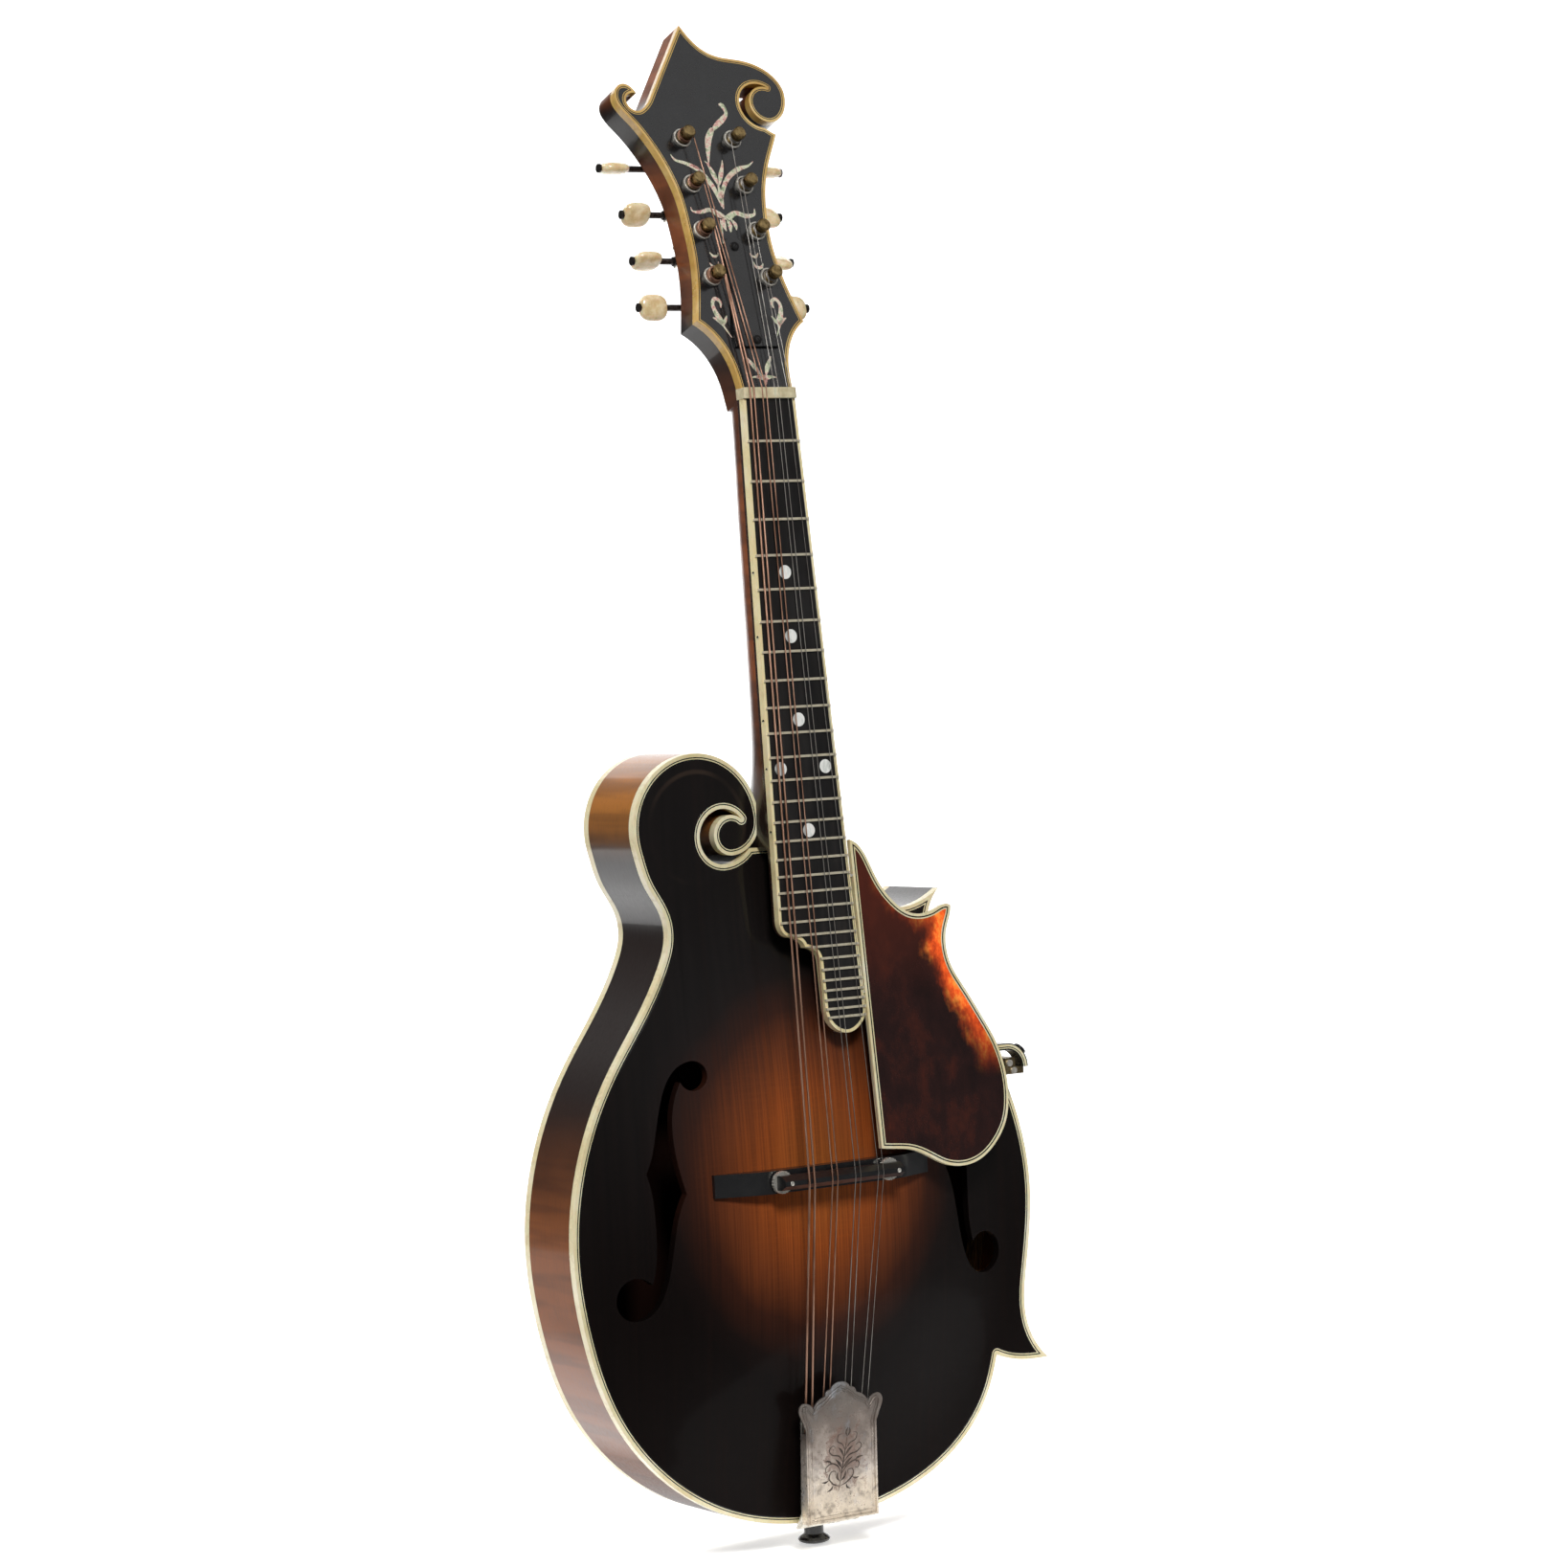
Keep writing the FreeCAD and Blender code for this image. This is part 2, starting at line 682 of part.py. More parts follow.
def linings():
    """Glue strips where the ribs meet the plates, between the blocks."""
    chamber = INSIDE.common(polygon(at, ((-140, -20), (140, -20), (140, 273.8), (-140, 273.8))))
    chamber = Part.Face(chamber.Faces[0].OuterWire)
    ring = chamber.cut(inset(chamber, size("lining_wide")))
    keep_out = [region(((-37, 0), (37, 0), (37, 26), (-37, 26))),
                region(((102.5, 50), (102.5, 93), (140, 93), (140, 50))),
                region(((-140, 268.5), (140, 268.5), (140, 290), (-140, 290)))]
    tall = size("lining_tall")
    strips = []
    for start in (RIB_TOP, RIB_BOTTOM - tall):
        strip = through(ring, start, tall)
        for area in keep_out:
            strip = strip.cut(area)
        strips.append(strip)
    return strips


def tone_bars():
    """Two bars fitted to the hollow of the top, scooped at their ends."""
    bars = []
    for side in (-1, 1):
        top = Vector(side * 14.0, 0, 258.0)
        foot = Vector(side * 30.0, 0, 52.0)
        run = foot - top
        profile = Part.makePolygon([
            Vector(0, -25, 0), Vector(0, -9.0, 0), Vector(0, -7.0, run.Length * 0.3),
            Vector(0, -7.0, run.Length * 0.7), Vector(0, -9.0, run.Length),
            Vector(0, -25, run.Length), Vector(0, -25, 0),
        ])
        bar = Part.Face(profile).extrude(Vector(7, 0, 0))
        bar.translate(Vector(-3.5, 0, 0))
        bar.Placement = Placement(top, Rotation(Z, Vector(run.x, 0, run.z))).multiply(bar.Placement)
        bars.append(bar.cut(UNDER_TOP.extrude(Vector(0, -40, 0))))
    return compound(bars)


feature("blocks_and_linings", compound(END_BLOCKS + linings()))
feature("tone_bars", tone_bars())

# ---------------------------------------------------------------- neck and peghead

HEAD_SIDE = (
    (14.15, 0.0), (14.3, 8.0), (15.0, 15.5), (17.2, 23.5), (21.8, 31.8), (29.5, 38.8),
)
HEAD_WAIST = (
    (29.5, 38.8), (26.9, 48.5), (24.3, 60.0), (22.5, 74.0), (22.2, 88.0), (23.6, 100.0),
    (26.4, 110.0),
)
HEAD_BASS_UP = (
    (-22.2, 88.0), (-22.6, 101.0), (-25.6, 115.0), (-31.7, 129.5), (-38.6, 140.5),
    (-43.6, 147.2), (-45.1, 152.0), (-43.9, 156.0), (-41.1, 158.7), (-37.6, 159.2),
    (-34.6, 157.4), (-32.8, 154.6),
)
HEAD_VOLUTE = (
    (-32.8, 154.6), (-36.4, 154.3), (-38.8, 152.2), (-39.2, 149.6), (-37.9, 147.0),
    (-34.8, 145.5), (-31.0, 146.8), (-26.0, 151.9),
)
HEAD_TIP = (0.0, 191.2)
HEAD_CROWN = (
    HEAD_TIP, (3.0, 186.2), (7.0, 181.2), (12.0, 177.5), (17.9, 175.4), (24.0, 174.6),
    (31.1, 173.8), (38.8, 171.5), (44.2, 168.3), (48.4, 163.7), (50.3, 158.6), (49.9, 153.0),
    (47.6, 147.6), (43.6, 143.6), (38.4, 142.0),
)
HEAD_DISC = (38.6, 151.3)
HEAD_DISC_R = 9.3
HEAD_SLOT = (35.2, 150.4)
HEAD_SLOT_R = 11.6
HEAD_POINT = (40.0, 135.5)
HEAD_TREBLE_UP = (HEAD_POINT, (36.6, 129.3), (31.6, 120.0), (27.4, 110.0), (24.6, 99.5),
                  (22.9, 88.0), (22.6, 74.0), (24.3, 60.0), (26.9, 48.5), (29.5, 38.8))


def head_outline():
    """The peghead seen square on, in the head frame."""
    hook = circle_meeting(HEAD_SLOT, HEAD_SLOT_R, HEAD_DISC, HEAD_DISC_R)
    bass_waist = [(-x, v) for x, v in HEAD_WAIST[:4]] + list(HEAD_BASS_UP)
    slot_foot = on_circle(HEAD_SLOT, HEAD_SLOT_R, 262)
    edges = [
        straight(flat(14.15, 0), flat(-14.15, 0)),
        curve(flat, [(-x, v) for x, v in HEAD_SIDE]),
        curve(flat, bass_waist),
        curve(flat, HEAD_VOLUTE),
        straight(flat(*HEAD_VOLUTE[-1]), flat(*HEAD_TIP)),
        curve(flat, HEAD_CROWN),
        Part.Arc(flat(*HEAD_CROWN[-1]), flat(*on_circle(HEAD_DISC, HEAD_DISC_R, 178)),
                 flat(*hook)).toShape(),
        arc(flat, HEAD_SLOT, HEAD_SLOT_R, bearing(HEAD_SLOT, hook), 262),
        curve(flat, (slot_foot, (36.8, 137.2), HEAD_POINT), (0.99, -0.14), (0.9, -0.4)),
        curve(flat, HEAD_TREBLE_UP),
        curve(flat, HEAD_SIDE),
    ]
    return face_of(edges)


HEAD_FACE = head_outline()
HEAD_INNER = inset(HEAD_FACE, size("head_bind"))
HEAD_RING = HEAD_FACE.cut(HEAD_INNER)
HEAD_LINE = line_rings(HEAD_FACE, size("head_bind") + size("head_line"), size("head_line"), 1)[0]
HEAD_LINE_DEEP = 1.0
NUT_SHELF = block(-20, 20, -12, size("nut_long"), -size("board_thick"), 8)
SHELF_IN_HEAD = moved_to(HEAD.inverse().multiply(NECK), NUT_SHELF)

POSTS = []
for side_name, side in (("bass", -1), ("treble", 1)):
    for i in range(4):
        POSTS.append((
            f"{side_name}_{i + 1}", side, side * (15.6 - 0.55 * i),
            size("first_post") + i * size("post_spacing"), i,
        ))

NECK_LEVELS = (
    (534.0, 12.4), (521.0, 14.5), (480.0, 15.3), (430.0, 16.2), (385.0, 17.4), (362.0, 19.5),
    (348.0, 23.5), (338.0, 29.5), (330.0, 38.0), (325.0, 46.0), (JOINT, 49.2),
)
NECK_FULLNESS = 2.35


def neck_section(z, depth):
    """One slice of the neck at row height z: flat under the board, rounded behind."""
    tilt = math.radians(size("neck_angle"))
    half = board_half(board_down(z)) - 0.02
    front = NUT.y - (NUT.z - z) * math.tan(tilt) + size("board_thick") / math.cos(tilt)
    spots = []
    for step in range(9):
        turn = math.pi * step / 8
        c, s = math.cos(turn), math.sin(turn)
        x = math.copysign(half * abs(c) ** (2 / NECK_FULLNESS), c) if abs(c) > 1e-9 else 0.0
        spots.append((x, front + depth * abs(s) ** (2 / NECK_FULLNESS)))
    edges = [curve(lambda a, b: Vector(a, b, z), spots)]
    edges.append(straight(Vector(spots[-1][0], spots[-1][1], z), Vector(spots[0][0], spots[0][1], z)))
    return Part.Wire(Part.__sortEdges__(edges))


RISER_START = board_down(JOINT) - 2
RISER_END = 284.0
ROD_FRONT = 32.0
POCKET = (-5.0, 5.0, 30.0, 58.0)


def neck():
    """Neck shaft, heel, dovetail, peghead core and the riser under the board's extension."""
    shaft = Part.makeLoft([neck_section(z, depth) for z, depth in NECK_LEVELS], True)
    core = moved_to(HEAD, thick(HEAD_FACE, HEAD_BACK, -size("veneer_thick")))
    low = -size("board_thick")
    riser = thick(polygon(flat, ((-17.5, -RISER_START), (17.5, -RISER_START), (19.5, -244),
                                 (19.5, -RISER_END), (3, -RISER_END), (3, -252), (-17.5, -241))),
                  low - 4.0, low)
    riser = moved_to(NECK, riser)
    solid = shaft.fuse([core, riser]).cut(through(OUTLINE, RIM, BACK - RIM)).fuse(DOVETAIL)
    tools = [HEEL_BUTTON]
    post_length = -HEAD_BACK + 4
    for _, _, x, v, _ in POSTS:
        hole = Part.makeCylinder(size("post_hole"), post_length, Vector(x, v, HEAD_BACK - 2), Z)
        tools.append(moved_to(HEAD, hole))
    channel = rod(Vector(0, -198, -size("rod_drop")), Vector(0, ROD_FRONT + 1, -size("rod_drop")),
                  size("rod_radius") + 0.15)
    tools.append(moved_to(NECK, channel))
    x0, x1, v0, v1 = POCKET
    tools.append(moved_to(HEAD, block(x0, x1, v0, v1, -12.0, 2.0)))
    tools.append(moved_to(NECK, NUT_SHELF))
    tools.append(moved_to(NECK, block(-24, 24, -205, 0, -size("board_thick"), 8)))
    tools.append(moved_to(HEAD, thick(HEAD_RING, -size("head_bind_tall"), 1.0)))
    for tool in tools:
        solid = solid.cut(tool)
    return solid


feature("neck", neck())


def veneer():
    """Black face of the peghead, inside its binding."""
    solid = thick(HEAD_INNER, -size("veneer_thick"), 0).cut(SHELF_IN_HEAD)
    solid = solid.cut(thick(HEAD_LINE, -HEAD_LINE_DEEP, 1))
    x0, x1, v0, v1 = POCKET
    solid = solid.cut(block(x0, x1, v0, v1, -12, 2))
    for _, _, x, v, _ in POSTS:
        solid = solid.cut(Part.makeCylinder(size("post_hole"), 6, Vector(x, v, -4), Z))
    return solid


feature("peghead_veneer", veneer(), HEAD)
feature("peghead_binding", compound([
    thick(HEAD_RING, -size("head_bind_tall"), 0).cut(SHELF_IN_HEAD),
    thick(HEAD_LINE, -HEAD_LINE_DEEP, 0).cut(SHELF_IN_HEAD),
]), HEAD)

# ---------------------------------------------------------------- fingerboard

BOARD_END = 294.0
TONGUE = 0.2  # the bass edge of the long treble tongue


def board_outline():
    """Bound fingerboard with its stepped extension, in the neck frame (Y is minus the distance)."""
    step = 240.5
    spare = -4.0
    corner = board_half(step)
    treble_end = 283.0
    return face_of([
        straight(flat(-board_half(spare), -spare), flat(board_half(spare), -spare)),
        straight(flat(board_half(spare), -spare), flat(board_half(treble_end), -treble_end)),
        curve(flat, ((board_half(treble_end), -treble_end), (19.0, -290.4), (11.2, -BOARD_END),
                     (3.4, -290.4), (TONGUE, -treble_end)), (0.2, -1), (-0.05, 1)),
        straight(flat(TONGUE, -treble_end), flat(TONGUE - 0.4, -261)),
        curve(flat, ((TONGUE - 0.4, -261), (-1.5, -256.4), (-4.6, -254.0), (-8.0, -253.3)),
              (0, 1), (-1, 0)),
        curve(flat, ((-8.0, -253.3), (-9.3, -250.6), (-12.0, -248.9), (-15.6, -248.0)),
              (-0.1, 1), (-1, 0.1)),
        curve(flat, ((-15.6, -248.0), (-18.9, -246.3), (-corner, -step)), (-1, 0.1), (0.03, 1)),
        straight(flat(-corner, -step), flat(-board_half(spare), -spare)),
    ])


LONG_FACE = board_outline()
BELOW_ZERO = polygon(flat, ((-30, 0), (30, 0), (30, -320), (-30, -320)))
BOARD_FACE = LONG_FACE.common(BELOW_ZERO).Faces[0]
BOARD_INNER = inset(LONG_FACE, size("board_bind")).common(BELOW_ZERO).Faces[0]
BOARD_RING = BOARD_FACE.cut(BOARD_INNER)
FRETS = range(1, 30)
DOTS = (5, 7, 10, 12, 15)
TWIN_DOT = 12
TWIN_SPREAD = 12.3
DOT_DEEP = 1.2
TANG_WIDE, TANG_DEEP = 0.5, 1.8
BOARD_BLANK = thick(BOARD_INNER, -size("board_thick"), 0)


def fret_blank(number, wide, low, high, extra):
    """A bar across the board at one fret, trimmed to the board's outline."""
    down = fret_down(number)
    bar = block(-30, 30, -down - wide / 2, -down + wide / 2, low, high)
    limit = thick(BOARD_INNER if extra == 0 else BOARD_FACE, low - 1, high + 1)
    return bar.common(limit)


def frets():
    """Nickel frets: a crown over the board and its binding, and a tang in the slot."""
    made = []
    for number in FRETS:
        crown = fret_blank(number, size("fret_width"), 0, size("fret_height"), 1)
        if number < 22:
            crown = crown.common(thick(inset_strip(), -1, 3))
        tang = fret_blank(number, TANG_WIDE, -TANG_DEEP, 0, 0)
        made.append(crown.fuse(tang))
    return made


def inset_strip():
    """Where crowns may reach: just short of the outer edge of the binding."""
    return inset(BOARD_FACE, 0.4)


FRET_SOLIDS = frets()


def dot_places():
    for number in DOTS:
        down = (fret_down(number) + fret_down(number - 1)) / 2
        spots = (-TWIN_SPREAD, TWIN_SPREAD) if number == TWIN_DOT else (0.0,)
        for x in spots:
            yield x, down


def position_dots():
    """Pearl dots in the face and black dots in the bass binding."""
    made = [Part.makeCylinder(size("dot_radius"), DOT_DEEP, Vector(x, -down, -DOT_DEEP), Z)
            for x, down in dot_places()]
    for number in DOTS:
        down = (fret_down(number) + fret_down(number - 1)) / 2
        edge = Vector(-board_half(down), -down, -1.9)
        made.append(Part.makeCylinder(size("side_dot_radius"), 1.0, edge, X))
    return made


DOT_SOLIDS = position_dots()


def fingerboard():
    slots = [fret_blank(number, TANG_WIDE, -TANG_DEEP, 1, 0) for number in FRETS]
    return BOARD_BLANK.cut(compound(slots)).cut(compound(DOT_SOLIDS))


feature("fingerboard", fingerboard(), NECK)
feature("fingerboard_binding",
        thick(BOARD_RING, -size("board_thick"), 0).cut(compound(DOT_SOLIDS)), NECK)
feature("frets", compound(FRET_SOLIDS), NECK)
feature("position_dots", compound(DOT_SOLIDS), NECK)

# ---------------------------------------------------------------- strings: route and places

# name, gauge radius, x at tail, x at saddle, x at nut, post index, side
STRINGS = (
    ("g_outer", 0.50, -16.9, -20.6, -11.5, 0, -1),
    ("g_inner", 0.50, -13.3, -17.8, -9.3, 1, -1),
    ("d_outer", 0.33, -7.6, -7.8, -4.6, 2, -1),
    ("d_inner", 0.33, -4.0, -5.0, -2.4, 3, -1),
    ("a_inner", 0.19, 4.0, 5.0, 2.4, 3, 1),
    ("a_outer", 0.19, 7.6, 7.8, 4.6, 2, 1),
    ("e_inner", 0.14, 13.3, 17.8, 9.3, 1, 1),
    ("e_outer", 0.14, 16.9, 20.6, 11.5, 0, 1),
)
HOOK_Z = 48.0
STRING_GAP = 0.03
GROOVE_GAP = 0.08
STRING_OVER_POST = 5.0
POST_GAP = 0.25


def string_route(radius, x_tail, x_saddle, x_nut, index, side):
    """Hook, saddle, front and back of the nut, and the near side of the post."""
    saddle_y = RIM - size("saddle_top") - radius - STRING_GAP
    lift = (BRIDGE_Z - HOOK_Z) * 0.161
    top = size("nut_rise") - 0.45
    _, _, post_x, post_v, _ = POSTS[(0 if side < 0 else 4) + index]
    wrap = post_x - side * (size("post_radius") + radius + POST_GAP)
    return [
        Vector(x_tail, saddle_y + lift, HOOK_Z),
        Vector(x_saddle, saddle_y, BRIDGE_Z),
        NECK.multVec(Vector(x_nut, 0.0, top + radius)),
        NECK.multVec(Vector(x_nut, size("nut_long"), top + radius)),
        HEAD.multVec(Vector(wrap, post_v, STRING_OVER_POST)),
    ]


def string_solid(name, radius, *place):
    """Straight runs joined by balls at the bends."""
    route = string_route(radius, *place)
    solid = rod(route[0], route[1], radius)
    for a, b in zip(route[1:-1], route[2:]):
        solid = solid.fuse([Part.makeSphere(radius, a), rod(a, b, radius)])
    return solid


feature("strings", compound(string_solid(*entry) for entry in STRINGS))


def groove(entry, extra):
    """Room for one string where it crosses the nut."""
    radius = entry[1] + extra
    route = string_route(*entry[1:])
    ahead = route[2] + (route[2] - route[3]).normalize().multiply(4)
    beyond = route[3] + (route[4] - route[3]).normalize().multiply(4)
    return rod(ahead, route[2], radius).fuse([
        rod(route[1], route[2], radius), Part.makeSphere(radius, route[2]),
        rod(route[2], route[3], radius),
        Part.makeSphere(radius, route[3]), rod(route[3], beyond, radius),
    ])


def saddle_groove(entry, extra):
    """Room for one string where it bends over the saddle's crest."""
    radius = entry[1] + extra
    tail, crest, nut_end = string_route(*entry[1:])[:3]
    runs = [rod(crest, crest + (end - crest).normalize().multiply(6), radius)
            for end in (tail, nut_end)]
    return Part.makeSphere(radius, crest).fuse(runs)


def nut_body():
    """Bone nut: a pad as long as the nut, cut by the string grooves."""
    body = new_body("NutBody", NECK)
    sketch = new_sketch(body, "XZ_Plane")
    half, low, high = size("nut_wide") / 2, -size("board_thick"), size("nut_rise")
    draw_loop(sketch, ((-half, low), (half, low), (half, high - 0.8), (half - 1.2, high),
                       (-half + 1.2, high), (-half, high - 0.8)))
    length = pad(body, sketch, "Sizes.nut_long")
    length.Reversed = True
    grooves = doc.addObject("Part::Feature", "NutGrooves")
    grooves.Shape = compound(groove(entry, 0.04) for entry in STRINGS)
    return cut(body, grooves)


keep("nut", nut_body())

# ---------------------------------------------------------------- truss rod

feature("truss_rod", rod(Vector(0, -196, -size("rod_drop")),
                         Vector(0, ROD_FRONT + size("rod_nut_long") - 1, -size("rod_drop")),
                         size("rod_radius")), NECK)


def truss_nut():
    """Six-sided brass nut with a running bore on the rod."""
    body = new_body("TrussNutBody", NECK.multiply(Placement(
        Vector(0, ROD_FRONT + 1.2, -size("rod_drop")), Rotation(X, -90))))
    sketch = new_sketch(body, "XY_Plane")
    corners = [on_circle((0, 0), size("rod_nut_radius"), 60 * i) for i in range(6)]
    draw_loop(sketch, corners)
    draw_circle(sketch, 0, 0, "bore", "Sizes.rod_radius + 0.05")
    pad(body, sketch, "Sizes.rod_nut_long")
    return body


keep("truss_rod_nut", truss_nut())

COVER_BOTTOM, COVER_TOP = 25.6, 82.0


def truss_cover():
    """Bell-shaped black cover over the rod's pocket."""
    right = ((12.0, COVER_BOTTOM), (11.6, 33.0), (9.6, 42.0), (7.6, 52.0), (6.6, 64.0), (6.2, 74.0),
             (3.6, 79.6), (0.0, COVER_TOP))
    left = [(-x, v) for x, v in reversed(right)]
    solid = thick(face_of([curve(flat, right), curve(flat, left),
                           straight(flat(-12.0, COVER_BOTTOM), flat(12.0, COVER_BOTTOM))]), 0.0, 1.6)
    for v in (COVER_BOTTOM + 3.2, COVER_TOP - 6.0):
        solid = solid.cut(Part.makeCylinder(0.9, 4, Vector(0, v, -1), Z))
    return solid


feature("truss_rod_cover", truss_cover(), HEAD)

# ---------------------------------------------------------------- tuning machines

PLATE_SCREWS = []
PLATE_SCREW_UP = 9.3


def bushing(x, v):
    """A flanged bush round one post, standing on the peghead's face."""
    rim = cylinder("Sizes.bushing_radius", "1.4", Vector(x, v, 0))
    bore = cylinder("Sizes.post_radius + 0.06", "4", Vector(x, v, -1))
    return cut(rim, bore)


group("post_bushings", [bushing(x, v) for _, _, x, v, _ in POSTS], HEAD)


def tuner_plate(side):
    """A metal strip behind one row of posts, with two lugs round every worm shaft."""
    rows = [entry for entry in POSTS if entry[1] == side]
    first, last = rows[0], rows[-1]
    back = HEAD_BACK
    sheet_metal = size("plate_sheet")
    reach = size("worm_offset")
    low, high = first[3] - reach - 7.2, last[3] + 11.4
    centre = (first[2] + last[2]) / 2
    solid = block(centre - 6.5, centre + 6.5, low, high, back - sheet_metal, back)
    for _, _, x, v, _ in rows:
        solid = solid.cut(Part.makeCylinder(size("post_radius") + 0.06, 6, Vector(x, v, back - 3), Z))
        axis = back - size("worm_drop")
        for lug in (-5.0, 5.0):
            ear = block(x + lug - 0.6, x + lug + 0.6, v - reach - 2.4, v - reach + 2.4,
                        axis - 2.3, back - sheet_metal)
            solid = solid.fuse(ear)
        bore = rod(Vector(x - 9, v - reach, axis), Vector(x + 9, v - reach, axis),
                   size("shaft_radius") + 0.05)
        solid = solid.cut(bore)
    for i in range(5):
        v = low + 2.6 + i * (high - low - 5.2) / 4
        if 0 < i < 4:
            v = rows[i - 1][3] + PLATE_SCREW_UP
        PLATE_SCREWS.append((centre, v))
        solid = solid.cut(Part.makeCylinder(1.0, 6, Vector(centre, v, back - 3), Z))
    return solid


feature("tuner_plates", compound([tuner_plate(-1), tuner_plate(1)]), HEAD)


def tuner_post(name, x, v):
    """Post with its string hole, and the gear on its foot."""
    back = HEAD_BACK - size("plate_sheet")
    body = new_body("Post_" + name, HEAD.multiply(Placement(Vector(x, v, 0), Rotation())))
    sketch = new_sketch(body, "XZ_Plane")
    r, g = size("post_radius"), size("gear_radius")
    foot = back - 0.3 - size("gear_thick")
    rise = size("post_rise")
    draw_loop(sketch, ((0, foot - 1.0), (1.9, foot - 1.0), (1.9, foot), (g, foot),
                       (g, foot + size("gear_thick")), (r, foot + size("gear_thick")),
                       (r, 3.0), (r - 0.5, 4.0), (r - 0.5, 6.2), (r, 7.0), (r, rise - 0.6),
                       (r - 0.6, rise), (0, rise)))
    turned = body.newObject("PartDesign::Revolution", "Turned")
    turned.Profile = sketch
    turned.ReferenceAxis = (sketch, ["V_Axis"])
    turned.Angle = 360
    hole_sketch = new_sketch(body, "YZ_Plane")
    draw_circle(hole_sketch, 0, 5.2, "eye", "0.8")
    hole = body.newObject("PartDesign::Pocket", "StringHole")
    hole.Profile = hole_sketch
    hole.Type = 1
    hole.Midplane = True
    notch_sketch = new_sketch(body, "XY_Plane")
    draw_circle(notch_sketch, g + 0.15, 0, "notch", "0.45")
    notch = body.newObject("PartDesign::Pocket", "Notch")
    notch.Profile = notch_sketch
    notch.Type = 1
    notch.Midplane = True
    ring = body.newObject("PartDesign::PolarPattern", "Teeth")
    ring.Originals = [notch]
    ring.Axis = (origin_item(body, "Z_Axis"), [""])
    ring.Angle = 360
    ring.Occurrences = 15
    body.Tip = ring
    return body


# How far each button's outer end stands from the centre line, lowest pair first.
BUTTON_REACH = (47.0, 44.6, 44.4, 50.8)
BUTTON_TURN = {-1: (71.0, 13.0, 39.0, -19.0), 1: (96.0, 44.0, 70.0, 21.0)}


CAP_LONG = 1.0
BUTTON_FLAT = 7.0


def worm_shaft(x, v, side, reach):
    """Steel shaft with its worm between the lugs, running out through the button to a cap."""
    axis = HEAD_BACK - size("worm_drop")
    here = Placement(Vector(x, v - size("worm_offset"), axis), Rotation(Y, 90 * side))
    seat = reach - abs(x) - CAP_LONG
    shaft = cylinder("Sizes.shaft_radius", f"{seat + 6.6}", Vector(0, 0, -6.6))
    worm = cylinder("Sizes.worm_radius", "8", Vector(0, 0, -4))
    collar = cylinder("Sizes.worm_radius", "1", Vector(0, 0, 5.8))
    cap = cylinder("Sizes.button_cap", f"{CAP_LONG}", Vector(0, 0, seat))
    made = fused([shaft, worm, collar, cap])
    made.Placement = HEAD.multiply(here)
    return made, here, seat


def tuner_button(here, seat, turn):
    """Oval button pressed on the shaft, flat where the cap holds it."""
    oval = doc.addObject("Part::Ellipsoid", "Oval")
    bind(oval, Radius1="Sizes.button_long", Radius2="Sizes.button_broad", Radius3="Sizes.button_thin")
    oval.Placement = Placement(Vector(0, 0, seat - BUTTON_FLAT), Rotation(Z, turn))
    bore = cylinder("Sizes.shaft_radius", "40", Vector(0, 0, 0))
    end = box("20", "20", "5", Vector(-10, -10, seat))
    made = cut(oval, fused([bore, end]))
    made.Placement = HEAD.multiply(here)
    return made


for post_name, post_side, post_x, post_v, post_index in POSTS:
    keep("tuner_post_" + post_name, tuner_post(post_name, post_x, post_v))
    shaft_part, shaft_place, shaft_seat = worm_shaft(
        post_x, post_v, post_side, BUTTON_REACH[post_index])
    keep("worm_shaft_" + post_name, shaft_part)
    keep("tuner_button_" + post_name,
         tuner_button(shaft_place, shaft_seat, BUTTON_TURN[post_side][post_index]))

# ---------------------------------------------------------------- bridge

STUD_TOP = RIM - 28.4
SADDLE_FOOT = RIM - size("wheel_rise") - size("wheel_thick") - 0.05


def bridge_base():
    """Ebony base fitted to the arch, thinned towards its ends."""
    half, rise = size("bridge_half"), size("bridge_rise")
    top = curve(lambda x, h: Vector(x, RIM - h, 0),
                ((-half, 12.6), (-52, 15.2), (-44, 18.6), (-36, 20.9), (-28, rise), (0, rise),
                 (28, rise), (36, 20.9), (44, 18.6), (52, 15.2), (half, 12.6)))
    sides = Part.makePolygon([Vector(half, RIM - 12.6, 0), Vector(half, RIM + 6, 0),
                              Vector(-half, RIM + 6, 0), Vector(-half, RIM - 12.6, 0)])
    face = face_of([top] + sides.Edges)
    deep = size("bridge_thick")
    solid = face.extrude(Vector(0, 0, deep))
    solid.translate(Vector(0, 0, BRIDGE_Z - deep / 2))
    return solid.cut(TOP_FACE.extrude(Vector(0, 60, 0)))


def stud_places():
    return [Vector(side * size("stud_x"), 0, BRIDGE_Z) for side in (-1, 1)]


def bridge_saddle():
    """Saddle blade: wide foot, narrow crest, grooves for the strings, blind holes for the studs."""
    half, crest = size("saddle_half"), RIM - size("saddle_top")
    profile = Part.Face(Part.makePolygon([
        Vector(0, SADDLE_FOOT, -3.3), Vector(0, SADDLE_FOOT, 3.3), Vector(0, SADDLE_FOOT - 3.4, 3.3),
        Vector(0, crest, 1.1), Vector(0, crest, -1.1), Vector(0, SADDLE_FOOT - 3.4, -3.3),
        Vector(0, SADDLE_FOOT, -3.3)]))
    solid = profile.extrude(Vector(2 * half, 0, 0))
    solid.translate(Vector(-half, 0, BRIDGE_Z))
    for place in stud_places():
        bore = Part.makeCylinder(size("stud_radius") + 0.06, 6.2,
                                 Vector(place.x, SADDLE_FOOT + 0.5, place.z), -Y)
        solid = solid.cut(bore)
    for entry in STRINGS:
        solid = solid.cut(saddle_groove(entry, GROOVE_GAP))
    return solid


